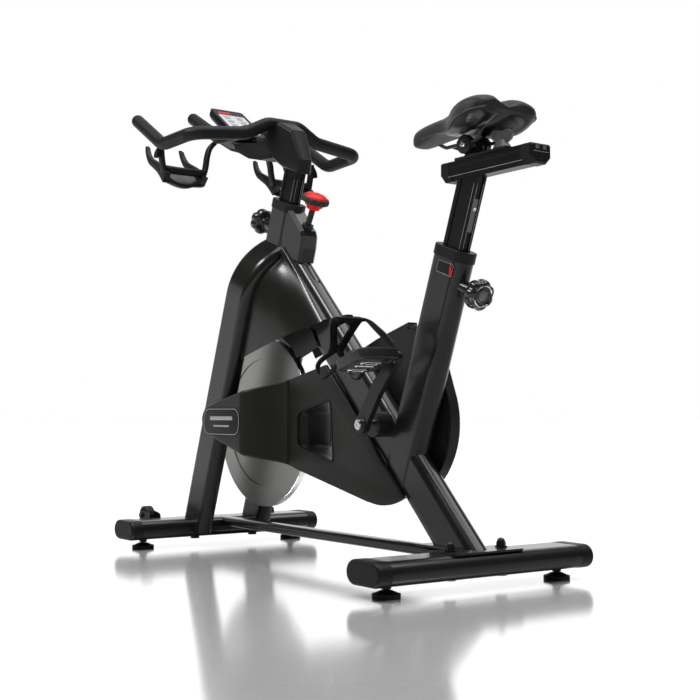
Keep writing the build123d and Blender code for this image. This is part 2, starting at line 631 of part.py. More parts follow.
def crank_bolts():
    left = side_disc(CRANK_X, CRANK_Z, 11, LEFT_ARM_Y[1], LEFT_ARM_Y[1] + 5)
    right = side_disc(CRANK_X, CRANK_Z, 11, RIGHT_ARM_Y[0] - 5, RIGHT_ARM_Y[0])
    return [left, right]


# ---- Pedals, drawn flat at the origin with their axle along Y ------------------------------

PEDAL_OUTER = PEDAL_START + PEDAL_WIDTH


def pedal_axle():
    """From inside the crank's eye (y = -15) out to the pedal's end."""
    axle = side_disc(0, 0, PEDAL_AXLE_RADIUS, -15, PEDAL_START - 4)
    axle += side_disc(0, 0, 9, 0, 4)
    return axle + side_disc(0, 0, 5, PEDAL_START - 4, PEDAL_OUTER - 8)


def pedal_body():
    """A cast platform with two windows, the axle's barrel and a cleat binding below."""
    plate = Pos(0, PEDAL_START + PEDAL_WIDTH / 2, 0) * prism(
        RectangleRounded(PEDAL_LENGTH, PEDAL_WIDTH, 14), -8, 6)
    for x in (-28, 28):
        plate -= Pos(x, PEDAL_START + PEDAL_WIDTH / 2, 0) * prism(RectangleRounded(22, 60, 6), -20, 20)
    barrel = side_disc(0, 0, 11, PEDAL_START, PEDAL_OUTER)
    binding = Pos(0, PEDAL_START + PEDAL_WIDTH / 2, 0) * prism(RectangleRounded(74, 34, 8), -17, -7)
    binding -= Pos(0, PEDAL_START + PEDAL_WIDTH / 2, 0) * prism(RectangleRounded(40, 22, 5), -30, -12)
    body = plate + barrel + binding
    return body - side_disc(0, 0, 5 + RUNNING_GAP, 0, PEDAL_OUTER - 7)


def ribbon(points, radius):
    """A band of even thickness along a chain of (x, z) points, seen from the side."""
    band = Pos(*points[0]) * Circle(radius)
    for start, end in zip(points, points[1:]):
        band += make_hull((Pos(*start) * Circle(radius)).edges() + (Pos(*end) * Circle(radius)).edges())
    return band


CAGE_LINE = [(40, 9), (80, 1), (105, -4), (122, 8), (126, 28), (113, 54), (96, 76), (76, 96), (58, 99), (14, 86)]


def toe_cage():
    """A moulded cage: one bent band from the pedal's front, round the toe and back over the foot."""
    inner, outer = PEDAL_START + 4, PEDAL_OUTER - 4
    middle = (inner + outer) / 2
    cage = side_solid(ribbon(CAGE_LINE, 2.2), inner, outer)
    cage -= block(52, 116, inner + 13, outer - 13, -30, 12)
    cage -= block(98, 160, inner + 13, middle - 7, 12, 80) + block(98, 160, middle + 7, outer - 13, 12, 80)
    cage -= block(20, 62, middle - 6, middle + 6, 60, 120)
    for side_y in (inner - 1, outer - 12):
        cage -= block(0, 92, side_y, side_y + 13, 60, 120)
    tongue = block(22, 46, inner, outer, 6.3, 11)
    return cage + tongue


def pedal_place(angle):
    return (CRANK_X + CRANK_LENGTH * cos(radians(angle)), CRANK_Z + CRANK_LENGTH * sin(radians(angle)))


def left_pedal_piece(shape):
    x, z = pedal_place(CRANK_ANGLE)
    return Pos(0, LEFT_ARM_Y[1], 0) * turned(shape, x, z, PEDAL_ANGLE)


def right_pedal_piece(shape):
    x, z = pedal_place(CRANK_ANGLE + 180)
    return Pos(0, RIGHT_ARM_Y[0], 0) * turned(mirrored(shape), x, z, PEDAL_ANGLE)


# ---- Pull pins and knobs -------------------------------------------------------------------

PIN_RADIUS = 5.0
PIN_BOSS_RADIUS = 14.0
PIN_BOSS_LENGTH = 22.0
HEAD_BOSS_LENGTH = 28.0
KNOB_RADIUS = 31.0
KNOB_THICKNESS = 30.0
SEAT_PIN_HEIGHT = 36.5
HEAD_PIN_HEIGHT = 30.7
SEAT_PIN_LINE = Plane(origin=SEAT_LINE.from_local_coords((0, 0, SEAT_PIN_HEIGHT)), x_dir=(0, 1, 0),
                      z_dir=-SEAT_LINE.x_dir)
HEAD_PIN_LINE = Plane(origin=HEAD_LINE.from_local_coords((0, 0, HEAD_PIN_HEIGHT)), x_dir=(0, 1, 0),
                      z_dir=HEAD_LINE.x_dir)


def pull_pin(start, face):
    """A plunger from just clear of the post out to the knob's middle."""
    return rod(PIN_RADIUS, start, face + 20)


def pull_knob(face):
    """A lobed knob on a collar, hollow in its middle for the plunger."""
    neck = rod(12, face + 1, face + 9)
    body = rod(KNOB_RADIUS, face + 8, face + 8 + KNOB_THICKNESS)
    for place in PolarLocations(KNOB_RADIUS + 6, 7):
        body -= Pos(place.position.X, place.position.Y) * rod(9, face, face + 60)
    body = fillet(body.edges().filter_by(GeomType.CIRCLE).group_by(SortBy.RADIUS)[-1], 4.0)
    return neck + body - rod(PIN_RADIUS, 0, face + 20)


# ---- Seat ----------------------------------------------------------------------------------


def seat_post():
    low, high = -110.0, 260.0
    post = on(SEAT_LINE, prism(post_profile(), low, high))
    for step in range(9):
        height = SEAT_PIN_HEIGHT - 120 + 20 * step
        hole = on(SEAT_LINE, Pos(-POST_DEPTH / 2, 0, height) * Rot(0, 90, 0) * Cylinder(PIN_RADIUS + 0.5, 18))
        post -= hole
    post -= on(SEAT_LINE, prism(RectangleRounded(POST_DEPTH - 26, POST_WIDTH - 12, 4), low - 1, high + 1))
    return biggest(post - block(-BIG, BIG, -BIG, BIG, RAIL_BOTTOM, BIG))


def rail_profile():
    """The saddle rail's section in (y, z): chamfered below, a T-slot on top, hollow inside."""
    half = RAIL_WIDTH / 2
    outline = make_face(Polyline((-half + 12, RAIL_BOTTOM), (half - 12, RAIL_BOTTOM), (half, RAIL_BOTTOM + 12),
                                 (half, RAIL_TOP - 3), (half - 3, RAIL_TOP), (-half + 3, RAIL_TOP),
                                 (-half, RAIL_TOP - 3), (-half, RAIL_BOTTOM + 12), close=True))
    outline -= Pos(0, RAIL_TOP) * Rectangle(12, 22)
    outline -= Pos(0, RAIL_BOTTOM + 16) * RectangleRounded(32, 20, 4)
    return outline


def seat_slide_rail():
    return on(ACROSS, prism(rail_profile(), RAIL_REAR + 26, RAIL_FRONT - 26))


def rail_end_cap(x0, x1, outer_x):
    half = RAIL_WIDTH / 2 + 0.8
    outline = make_face(Polyline((-half + 12, RAIL_BOTTOM - 0.8), (half - 12, RAIL_BOTTOM - 0.8),
                                 (half, RAIL_BOTTOM + 11.5), (half, RAIL_TOP - 3), (half - 3, RAIL_TOP),
                                 (-half + 3, RAIL_TOP), (-half, RAIL_TOP - 3), (-half, RAIL_BOTTOM + 11.5),
                                 close=True))
    cap = on(ACROSS, prism(outline, x0, x1))
    end = cap.faces().sort_by(Axis.X)[-1 if outer_x > 0 else 0]
    return chamfer(end.edges(), 3.0)


def saddle_carriage():
    """The sled on the rail: a plate, a key in the slot and the lug that carries the saddle."""
    plate_low = RAIL_TOP + SLIDING_GAP
    plate = block(SADDLE_KNOB_X - 32, CLAMP_X + 32, -22, 22, plate_low, plate_low + 5)
    key = block(SADDLE_KNOB_X - 10, CLAMP_X, -5.7, 5.7, RAIL_TOP - 9, plate_low)
    lug = side_prism([(CLAMP_X - 20, plate_low + 5), (CLAMP_X + 20, plate_low + 5), (CLAMP_X + 11, CLAMP_Z + 8),
                      (CLAMP_X - 11, CLAMP_Z + 8)], -8, 8)
    lug += side_disc(CLAMP_X, CLAMP_Z, 13, -8, 8)
    carriage = plate + key + lug
    carriage -= side_disc(CLAMP_X, CLAMP_Z, 4 + RUNNING_GAP, -50, 50)
    return carriage - Pos(SADDLE_KNOB_X, 0) * rod(4 + RUNNING_GAP, 700, 900)


def saddle_knob():
    base = RAIL_TOP + SLIDING_GAP + 5 + 0.3
    knob = Pos(0, 0, base + 7) * Cone(17, 9, 14) + rod(8, base + 13, base + 20)
    wing = prism(RectangleRounded(40, 13, 6), 0, 26)
    wing = fillet(wing.edges().group_by(Axis.Z)[-1], 4.0)
    knob += Pos(0, 0, base + 12) * wing
    knob += rod(4, base - 12, base)
    return Pos(SADDLE_KNOB_X, 0) * Rot(0, 0, 28) * knob


SADDLE_SECTIONS = [(-318, 12, 866, 883), (-338, 22, 860, 890), (-400, 30, 857, 896), (-445, 42, 858, 900),
                   (-490, 66, 860, 909), (-538, 85, 864, 920), (-572, 85, 868, 919), (-589, 60, 876, 911)]


def saddle_section(x, half_width, low, high):
    return on(Plane(origin=(x, 0, (low + high) / 2), x_dir=(0, 1, 0), z_dir=(1, 0, 0)),
              Ellipse(half_width, (high - low) / 2))


def saddle_cushion():
    return loft([saddle_section(*row) for row in SADDLE_SECTIONS])


def saddle_shell():
    rows = [(x, 0.84 * half, low - 5 - 18 * half / 88, low + 16) for x, half, low, high in SADDLE_SECTIONS[1:-1]]
    shell = loft([saddle_section(*row) for row in rows]) - saddle_cushion()
    return biggest(shell - block(RAIL_REAR, CLAMP_X + 30, -34, 34, RAIL_TOP, 872))


def saddle_rails():
    """Two bent steel rails and the cradle that clamps them to the carriage."""
    wires = None
    for side in (1, -1):
        path = FilletPolyline((-372, side * 10, 866), (-432, side * 23, CLAMP_Z + 2), (-520, side * 23, CLAMP_Z + 2),
                              (-566, side * 40, 872), radius=18)
        wire = sweep(Plane(origin=path @ 0, z_dir=path % 0) * Circle(3.5), path=path)
        cheek = side_disc(CLAMP_X, CLAMP_Z, 15, *sorted((side * 8.3, side * 20)))
        cheek += block(CLAMP_X - 18, CLAMP_X + 18, *sorted((side * 17, side * 28)), CLAMP_Z - 4, CLAMP_Z + 8)
        wires = wire + cheek if wires is None else wires + wire + cheek
    bolt = side_disc(CLAMP_X, CLAMP_Z, 4, -24, 24)
    return wires + bolt - saddle_cushion() - saddle_shell()


# ---- Handlebar -----------------------------------------------------------------------------


def handlebar_post():
    low, high = -60.0, 200.0
    post = on(HEAD_LINE, prism(post_profile(), low, high))
    for step in range(8):
        height = HEAD_PIN_HEIGHT - 60 + 22 * step
        post -= on(HEAD_LINE, Pos(POST_DEPTH / 2, 0, height) * Rot(0, 90, 0) * Cylinder(PIN_RADIUS + 0.5, 12))
    post -= on(HEAD_LINE, prism(RectangleRounded(POST_DEPTH - 26, POST_WIDTH - 12, 4), low - 1, high + 1))
    return biggest(post)


STEM_OUTLINE = [(176, 1008), (124, 980), (91, 906), (99, 874), (160, 897), (196, 922), (222, 955), (222, 992)]


def stem_cover():
    cover = side_prism(STEM_OUTLINE, -36, 36)
    cover = chamfer(cover.faces().filter_by(Axis.Y).edges(), 8.0)
    return biggest(cover - handlebar_solid() - on(HEAD_LINE, prism(post_profile(), 0, 200)))


BAR_POINTS = [(484, 235, 1038), (350, 236, 958), (213, 229, 962), (202, 98, 976), (194, 42, 1004)]
HORN_POINTS = [(208, 94, 981), (336, 92, 988), (470, 90, 1060)]


def tube_along(path, radius):
    return sweep(Plane(origin=path @ 0, z_dir=path % 0) * Circle(radius), path=path)


BAR_WALL = 2.5


_bar = []


def handlebar_solid():
    """The bent bar with its outer grips and the two inner horns, as one welded tube."""
    if _bar:
        return _bar[0]
    left = BAR_POINTS
    right = [(x, -y, z) for x, y, z in reversed(BAR_POINTS)]
    path = FilletPolyline(*(left + right), radius=[70, 34, 60, 40, 40, 60, 34, 70])
    bar = tube_along(path, BAR_RADIUS)
    bores = [tube_along(path, BAR_RADIUS - BAR_WALL)]
    for x, y, z in (left[0], right[-1]):
        bar += Pos(x, y, z) * Sphere(BAR_RADIUS)
    for side in (1, -1):
        points = [(x, side * y, z) for x, y, z in HORN_POINTS]
        horn = FilletPolyline(*points, radius=70)
        bar += tube_along(horn, HORN_RADIUS)
        bores.append(tube_along(horn, HORN_RADIUS - BAR_WALL))
        bar += Pos(*points[-1]) * Sphere(HORN_RADIUS)
    for bore in bores:
        bar -= bore
    _bar.append(bar)
    return bar


HOOP = [(64, 955), (55, 896), (34, 878), (2, 874), (-32, 885), (-56, 914), (-62, 965), (-80, 988)]
PRONG = [(398, 884), (430, 912), (470, 936), (492, 956), (501, 980)]


def holder():
    """A bottle cradle: a U-shaped hoop, a shelf, a sloping tray and two prongs, for the left side."""
    hoop_plane = Plane(origin=(HOLDER_X, HOLDER_Y, 0), x_dir=(0, 1, 0), z_dir=(1, 0, 0))
    hoop = on(hoop_plane, prism(ribbon(HOOP, 3.5), -9, 9))
    shelf = block(HOLDER_X - 9, HOLDER_X + 9, HOLDER_Y - 54, HOLDER_Y + 55, 902, 922)
    tray = side_prism([(HOLDER_X - 9, 876), (HOLDER_X + 6, 876), (470, 930), (466, 936), (HOLDER_X + 4, 884),
                       (HOLDER_X - 9, 884)], HOLDER_Y - 40, HOLDER_Y + 40)
    cradle = hoop + shelf + tray
    for y in (HOLDER_Y - 48, HOLDER_Y + 54):
        cradle += side_solid(ribbon(PRONG, 6), y - 7, y + 7)
    cradle += block(462, 472, HOLDER_Y - 48, HOLDER_Y + 54, 928, 938)
    cradle += block(HOLDER_X - 9, HOLDER_X + 9, HOLDER_Y + 58, HOLDER_Y + 78, 940, 956)
    return biggest(cradle - handlebar_solid())


def console_bracket():
    """The arm under the console, from the stem's front up to the console's back."""
    arm = side_prism([(205, 932), (262, 942), (330, 975), (380, 1020), (372, 1030), (330, 1002), (270, 978),
                      (223, 978), (223, 956), (205, 935)], -28, 28)
    return biggest(arm - handlebar_solid() - stem_cover() - on(CONSOLE_PLANE, console_block(0.0)))


def console_block(grow):
    return prism(RectangleRounded(CONSOLE_LENGTH + grow, CONSOLE_WIDTH + grow, 8),
                 -CONSOLE_THICKNESS - grow / 2, grow / 2)


def console():
    case = console_block(0.0)
    case = fillet(case.edges().group_by(Axis.Z)[0], 4.0)
    glass_recess = prism(RectangleRounded(CONSOLE_LENGTH - 14, CONSOLE_WIDTH - 10, 4), -1.5, 1)
    screen = prism(RectangleRounded(CONSOLE_LENGTH - 14, CONSOLE_WIDTH - 10, 4), -1.5, -0.3)
    return [on(CONSOLE_PLANE, case - glass_recess), on(CONSOLE_PLANE, screen)]


# ---- Brake ---------------------------------------------------------------------------------

ROD_LOW = -217.0
KNOB_SEAT = 52.0


def brake_rod():
    return on(BRAKE_LINE, rod(ROD_RADIUS, ROD_LOW, KNOB_SEAT + 14))


def brake_knob():
    """A mushroom knob: a stepped neck, a grip ring and a domed push button, in one moulding."""
    neck = rod(16, KNOB_SEAT, KNOB_SEAT + 14) + rod(21, KNOB_SEAT + 6, KNOB_SEAT + 16)
    ring = rod(33, KNOB_SEAT + 15, KNOB_SEAT + 27)
    ring = fillet(ring.edges(), 4.0)
    cap_radius = 52.0
    dome = Pos(0, 0, KNOB_SEAT + 36 - cap_radius) * Sphere(cap_radius)
    dome &= rod(28, KNOB_SEAT + 20, KNOB_SEAT + 60)
    knob = on(BRAKE_LINE, neck + ring + dome)
    return knob - on(BRAKE_LINE, rod(ROD_RADIUS, 0, KNOB_SEAT + 14))


def brake_fittings():
    """The rod's threaded bush in the gusset, and the caliper's hanger and pin under the beam."""
    bush = on(BRAKE_LINE, rod(BUSH_RADIUS, -22, 14) - rod(ROD_RADIUS + RUNNING_GAP, -50, 50))
    bush = bush - BEAM_SOLID
    hanger = side_prism([(CALIPER_X - 52, CALIPER_Z - 8), (CALIPER_X, CALIPER_Z - 13), (CALIPER_X + 13, CALIPER_Z),
                         (CALIPER_X - 4, CALIPER_Z + 26), (CALIPER_X - 30, CALIPER_Z + 26)], -9, 9)
    hanger += side_disc(CALIPER_X, CALIPER_Z, 12, -9, 9)
    hanger -= BEAM_SOLID
    pin = side_disc(CALIPER_X, CALIPER_Z, 5, -21, 21)
    shroud = side_prism([(92, 451), (6, 474), (30, 512), (96, 526), (128, 500)], 24, 27)
    return [biggest(bush), biggest(hanger) + pin] + both_sides(shroud)


def brake_caliper():
    """A fork of two cheeks over the flywheel's rim, with two magnets on each cheek."""
    outline = [(CALIPER_X - 12, CALIPER_Z - 12), (CALIPER_X + 8, CALIPER_Z - 62), (CALIPER_X + 62, CALIPER_Z - 30),
               (CALIPER_X + 92, CALIPER_Z - 22), (CALIPER_X + 92, CALIPER_Z + 12), (CALIPER_X, CALIPER_Z + 14)]
    cheek = side_prism(outline, 15, 20, 6)
    cheek -= side_disc(CALIPER_X, CALIPER_Z, 5 + RUNNING_GAP, 0, 50)
    bridge = side_prism([(CALIPER_X + 60, CALIPER_Z - 8), (CALIPER_X + 92, CALIPER_Z - 8),
                         (CALIPER_X + 92, CALIPER_Z + 12), (CALIPER_X + 60, CALIPER_Z + 12)], -15, 15)
    pieces = [cheek + bridge + mirrored(cheek)]
    for x, z in ((CALIPER_X + 16, CALIPER_Z - 38), (CALIPER_X + 48, CALIPER_Z - 20)):
        magnet = side_disc(x, z, 11, 11.5, 15)
        pieces += both_sides(magnet)
    return pieces


# ---- Writing the pieces --------------------------------------------------------------------

LEFT_CRANK = crank_arm(*LEFT_ARM_Y, CRANK_ANGLE)
RIGHT_CRANK = crank_arm(*RIGHT_ARM_Y, CRANK_ANGLE + 180)
FORK_LEFT = fork_left()

NODES = {
    "main_beam": lambda: main_beam(),
    "seat_tube": lambda: seat_tube(),
    "post_collars": lambda: [post_collar(SEAT_LINE, 100, SEAT_TUBE_DEPTH, SEAT_TUBE_WIDTH),
                             post_collar(HEAD_LINE, HEAD_LENGTH, HEAD_DEPTH, HEAD_WIDTH)],
    "head_tube": lambda: head_tube(),
    "fork_left": lambda: FORK_LEFT,
    "fork_right": lambda: mirrored(FORK_LEFT),
    "front_stabiliser": lambda: stabiliser(STABILISER_X),
    "rear_stabiliser": lambda: stabiliser(-STABILISER_X),
    "stabiliser_caps": lambda: both_sides(stabiliser_cap(STABILISER_X)) + both_sides(stabiliser_cap(-STABILISER_X)),
    "rear_base_plate": lambda: rear_base_plate(),
    "lower_beam": lambda: lower_beam(),
    "frame_fasteners": lambda: [base_bolt(x, y) for x, y in BASE_BOLTS],
    "crank_housing": lambda: crank_housing(),
    "flywheel_hood": lambda: flywheel_hood(),
    "left_guard": lambda: left_guard(),
    "drive_cover": lambda: drive_cover(),
    "drive_cover_back": lambda: drive_cover_back(),
    "flywheel_axle": lambda: flywheel_axle(),
    "drive_belt": lambda: drive_belt(),
    "wheel_brackets": lambda: wheel_bracket() + [mirrored(piece) for piece in wheel_bracket()],
    "brake_fittings": lambda: brake_fittings(),
    "flywheel": lambda: flywheel(),
    "flywheel_hub": lambda: flywheel_hub(),
    "drive_pulley": lambda: drive_pulley(),
    "crank_axle": lambda: crank_axle(),
    "left_crank": lambda: LEFT_CRANK,
    "right_crank": lambda: RIGHT_CRANK,
    "crank_bolts": lambda: crank_bolts(),
    "pedal_axles": lambda: [left_pedal_piece(pedal_axle()), right_pedal_piece(pedal_axle())],
    "left_pedal": lambda: left_pedal_piece(pedal_body()),
    "right_pedal": lambda: right_pedal_piece(pedal_body()),
    "left_toe_cage": lambda: left_pedal_piece(toe_cage() - pedal_body()),
    "right_toe_cage": lambda: right_pedal_piece(toe_cage() - pedal_body()),
    "seat_post": lambda: seat_post(),
    "seat_slide_rail": lambda: seat_slide_rail(),
    "slide_end_caps": lambda: [rail_end_cap(RAIL_FRONT - 26, RAIL_FRONT, 1),
                               rail_end_cap(RAIL_REAR, RAIL_REAR + 26, -1)],
    "saddle_carriage": lambda: saddle_carriage(),
    "saddle_rails": lambda: saddle_rails(),
    "saddle_shell": lambda: saddle_shell(),
    "saddle_cushion": lambda: saddle_cushion(),
    "saddle_knob": lambda: saddle_knob(),
    "seat_post_pin": lambda: on(SEAT_PIN_LINE, pull_pin(POST_DEPTH / 2 - 2, SEAT_TUBE_DEPTH / 2 + PIN_BOSS_LENGTH)),
    "seat_post_knob": lambda: on(SEAT_PIN_LINE, pull_knob(SEAT_TUBE_DEPTH / 2 + PIN_BOSS_LENGTH)),
    "handlebar_post": lambda: handlebar_post(),
    "stem_cover": lambda: stem_cover(),
    "handlebar": lambda: handlebar_solid(),
    "bottle_holders": lambda: both_sides(holder()),
    "console_bracket": lambda: console_bracket(),
    "console": lambda: console(),
    "handlebar_post_pin": lambda: on(HEAD_PIN_LINE, pull_pin(POST_DEPTH / 2 + 1, HEAD_DEPTH / 2 + HEAD_BOSS_LENGTH)),
    "handlebar_post_knob": lambda: on(HEAD_PIN_LINE, pull_knob(HEAD_DEPTH / 2 + HEAD_BOSS_LENGTH)),
    "brake_rod": lambda: brake_rod(),
    "brake_knob": lambda: brake_knob(),
    "brake_caliper": lambda: brake_caliper(),
    "foot_front_left": lambda: levelling_foot(STABILISER_X, FOOT_Y),
    "foot_front_right": lambda: levelling_foot(STABILISER_X, -FOOT_Y),
    "foot_rear_left": lambda: levelling_foot(-STABILISER_X, FOOT_Y),
    "foot_rear_right": lambda: levelling_foot(-STABILISER_X, -FOOT_Y),
    "left_wheel": lambda: transport_wheel(),
    "right_wheel": lambda: mirrored(transport_wheel()),
}


def save(name, shape):
    pieces = shape if isinstance(shape, list) else [shape]
    solids = [solid for piece in pieces for solid in piece.solids()]
    print(name, len(solids))
    export_step(Pos(CENTRE_SHIFT, 0, 0) * Compound(children=solids), os.path.join("parts", name + ".step"))


os.makedirs("parts", exist_ok=True)
for node, build in NODES.items():
    save(node, build())
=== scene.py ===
import bmesh
import bpy
from math import copysign, cos, exp, pi, radians, sin, sqrt
from mathutils import Matrix, Vector


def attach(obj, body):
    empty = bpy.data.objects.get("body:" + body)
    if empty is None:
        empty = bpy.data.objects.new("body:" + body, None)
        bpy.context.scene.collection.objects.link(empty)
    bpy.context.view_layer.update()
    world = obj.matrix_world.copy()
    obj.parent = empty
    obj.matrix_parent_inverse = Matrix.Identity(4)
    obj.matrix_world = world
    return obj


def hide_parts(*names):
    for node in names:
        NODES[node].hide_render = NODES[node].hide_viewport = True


# The looks of an indoor cycling bike: +X to the front, +Y to the rider's left, +Z up, floor at z = 0.
# Places are in millimetres from midway between the stabilisers, as in the CAD source; each shape is
# made in the millimetres of a plane, whose matrix brings it to the row frame's metres.

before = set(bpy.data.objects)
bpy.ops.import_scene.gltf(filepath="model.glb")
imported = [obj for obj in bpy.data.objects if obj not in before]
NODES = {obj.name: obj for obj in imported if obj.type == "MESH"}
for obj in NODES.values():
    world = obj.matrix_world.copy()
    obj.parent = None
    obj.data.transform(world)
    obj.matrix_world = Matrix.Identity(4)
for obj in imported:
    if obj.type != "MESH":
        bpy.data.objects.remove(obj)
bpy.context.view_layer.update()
SHIFT = 42.75  # millimetres from the row frame's origin forward to the design's
MILLI = 0.001
SIDES = ((1, "left"), (-1, "right"))


def at(x, y, z):
    """A point given in the design's millimetres, in the row frame."""
    return Vector(((x + SHIFT) / 1000, y / 1000, z / 1000))


# ---- Materials ----

CLOUD_SCALE, CLOUD_DETAIL = 7.0, 4.0  # the broad unevenness of a colour
GRAIN_DETAIL = 2.0
GRAIN_HEIGHT = 0.0004  # metres
LEATHER_SCALE, LEATHER_EDGE = 0.55, 0.25  # cells to a grain, and how much of a cell its crease takes
RING_SCALE, RING_HEIGHT = 900.0, 0.0003  # rings left by the lathe, to a metre, and their depth
RIM_COLOUR, RIM_ROUGH = (0.42, 0.42, 0.41), 0.30


def rgba(colour):
    """A colour given as three numbers, or as one for an even grey."""
    return (*colour, 1) if isinstance(colour, tuple) else (colour, colour, colour, 1)


def colour_ramp(nodes, links, factor, low, high, start=0.35, end=0.65):
    node = nodes.new("ShaderNodeValToRGB")
    node.color_ramp.elements[0].position, node.color_ramp.elements[1].position = start, end
    node.color_ramp.elements[0].color = rgba(low)
    node.color_ramp.elements[1].color = rgba(high)
    links.new(factor, node.inputs["Fac"])
    return node.outputs["Color"]


def value_range(nodes, links, value, low, high):
    node = nodes.new("ShaderNodeMapRange")
    node.inputs["To Min"].default_value, node.inputs["To Max"].default_value = low, high
    links.new(value, node.inputs["Value"])
    return node.outputs["Result"]


def noise(nodes, links, vector, scale, detail, stretch=None):
    if stretch:
        mapping = nodes.new("ShaderNodeMapping")
        mapping.inputs["Scale"].default_value = stretch
        links.new(vector, mapping.inputs["Vector"])
        vector = mapping.outputs["Vector"]
    node = nodes.new("ShaderNodeTexNoise")
    node.inputs["Scale"].default_value = scale
    node.inputs["Detail"].default_value = detail
    links.new(vector, node.inputs["Vector"])
    return node.outputs["Fac"]


def vector_step(nodes, links, operation, vector, other=(0, 0, 0)):
    node = nodes.new("ShaderNodeVectorMath")
    node.operation = operation
    links.new(vector, node.inputs[0])
    node.inputs[1].default_value = other
    return node.outputs["Value" if operation in ("LENGTH", "DOT_PRODUCT") else "Vector"]


def swap_colour(nodes, links, factor, colour, other):
    """The colour that is linked in, and the other one where the factor is 1."""
    node = nodes.new("ShaderNodeMix")
    node.data_type = "RGBA"
    node.inputs[7].default_value = rgba(other)
    links.new(factor, node.inputs["Factor"])
    links.new(colour, node.inputs[6])
    return node.outputs[2]


def set_relief(nodes, links, shader, height, strength, distance):
    relief = nodes.new("ShaderNodeBump")
    relief.inputs["Strength"].default_value = strength
    relief.inputs["Distance"].default_value = distance
    links.new(height, relief.inputs["Height"])
    links.new(relief.outputs["Normal"], shader.inputs["Normal"])


def surface(name, dark, light, rough, grain, bump, metallic=0.0, specular=0.5, coat=0.0, coat_rough=0.2,
            sheen=0.0, leather=False, stretch=None):
    """A procedural finish: cloudy colour, uneven gloss, and a fine grain that catches the light."""
    mat = bpy.data.materials.new(name)
    mat.use_nodes = True
    nodes, links = mat.node_tree.nodes, mat.node_tree.links
    shader = nodes["Principled BSDF"]
    place = nodes.new("ShaderNodeTexCoord").outputs["Object"]
    clouds = noise(nodes, links, place, CLOUD_SCALE, CLOUD_DETAIL)
    fine = noise(nodes, links, place, grain, GRAIN_DETAIL, stretch)
    links.new(colour_ramp(nodes, links, clouds, dark, light), shader.inputs["Base Color"])
    links.new(value_range(nodes, links, fine, *rough), shader.inputs["Roughness"])
    height = fine
    if leather:
        cells = nodes.new("ShaderNodeTexVoronoi")
        cells.feature = "DISTANCE_TO_EDGE"
        cells.inputs["Scale"].default_value = grain * LEATHER_SCALE
        links.new(place, cells.inputs["Vector"])
        height = colour_ramp(nodes, links, cells.outputs["Distance"], 0.0, 1.0, 0.0, LEATHER_EDGE)
    set_relief(nodes, links, shader, height, bump, GRAIN_HEIGHT)
    for socket, value in (("Metallic", metallic), ("Specular IOR Level", specular), ("Coat Weight", coat),
                          ("Coat Roughness", coat_rough), ("Sheen Weight", sheen)):
        shader.inputs[socket].default_value = value
    return mat


def turned_steel(name, centre, dark, light, rim_radius):
    """Steel turned on a lathe about an axle along Y: fine rings, and a smoother band at the rim."""
    mat = surface(name, dark, light, (0.30, 0.42), 500.0, 0.05, metallic=1.0)
    nodes, links = mat.node_tree.nodes, mat.node_tree.links
    shader = nodes["Principled BSDF"]
    place = nodes.new("ShaderNodeTexCoord").outputs["Object"]
    off_centre = vector_step(nodes, links, "SUBTRACT", place, centre)
    in_plane = vector_step(nodes, links, "MULTIPLY", off_centre, (1, 0, 1))
    radius = vector_step(nodes, links, "LENGTH", in_plane)
    rings = nodes.new("ShaderNodeTexNoise")
    rings.noise_dimensions = "1D"
    rings.inputs["Scale"].default_value = RING_SCALE
    links.new(radius, rings.inputs["W"])
    rim = nodes.new("ShaderNodeMath")
    rim.operation = "GREATER_THAN"
    rim.inputs[1].default_value = rim_radius
    links.new(radius, rim.inputs[0])
    face_colour = colour_ramp(nodes, links, rings.outputs["Fac"], dark, light, 0.3, 0.7)
    links.new(swap_colour(nodes, links, rim.outputs[0], face_colour, RIM_COLOUR), shader.inputs["Base Color"])
    rough = nodes.new("ShaderNodeMix")
    rough.inputs[3].default_value = RIM_ROUGH
    links.new(rim.outputs[0], rough.inputs[0])
    links.new(value_range(nodes, links, rings.outputs["Fac"], 0.30, 0.44), rough.inputs[2])
    links.new(rough.outputs[0], shader.inputs["Roughness"])
    set_relief(nodes, links, shader, rings.outputs["Fac"], 0.12, RING_HEIGHT)
    return mat


PAINT = surface("satin_paint", (0.0065, 0.0065, 0.0057), (0.0095, 0.0095, 0.0084), (0.24, 0.32), 1400.0, 0.08,
                specular=0.25, coat=0.35, coat_rough=0.14)
GUARD = surface("moulded_guard", (0.0085, 0.0085, 0.0075), (0.012, 0.012, 0.0108), (0.36, 0.48), 1800.0, 0.16,
                specular=0.22)
BLACK = surface("black_plastic", 0.005, (0.008, 0.008, 0.0078), (0.36, 0.50), 1500.0, 0.22, specular=0.18)
COATED = surface("grip_coat", 0.004, 0.006, (0.44, 0.58), 2200.0, 0.25, specular=0.18)
ANODISED = surface("anodised_black", (0.003, 0.0035, 0.004), (0.006, 0.0065, 0.007), (0.26, 0.38), 700.0,
                   0.06, specular=0.16, stretch=(6, 6, 0.4))
DARK_STEEL = surface("black_oxide", 0.007, (0.012, 0.012, 0.0115), (0.28, 0.42), 900.0, 0.10, specular=0.3)
BRIGHT = surface("plated_steel", (0.58, 0.58, 0.57), (0.76, 0.76, 0.75), (0.14, 0.28), 600.0, 0.04,
                 metallic=1.0)
CAST = surface("cast_black", (0.010, 0.010, 0.011), (0.018, 0.018, 0.019), (0.28, 0.46), 800.0, 0.30,
               specular=0.4)
RUBBER = surface("moulded_rubber", 0.012, 0.020, (0.55, 0.72), 1200.0, 0.35, specular=0.3)
LEATHER = surface("saddle_cover", 0.008, (0.012, 0.012, 0.0115), (0.40, 0.55), 2600.0, 0.28, specular=0.25,
                  sheen=0.03, leather=True)
PIPING = surface("seam_piping", 0.020, 0.030, (0.30, 0.42), 1500.0, 0.15)
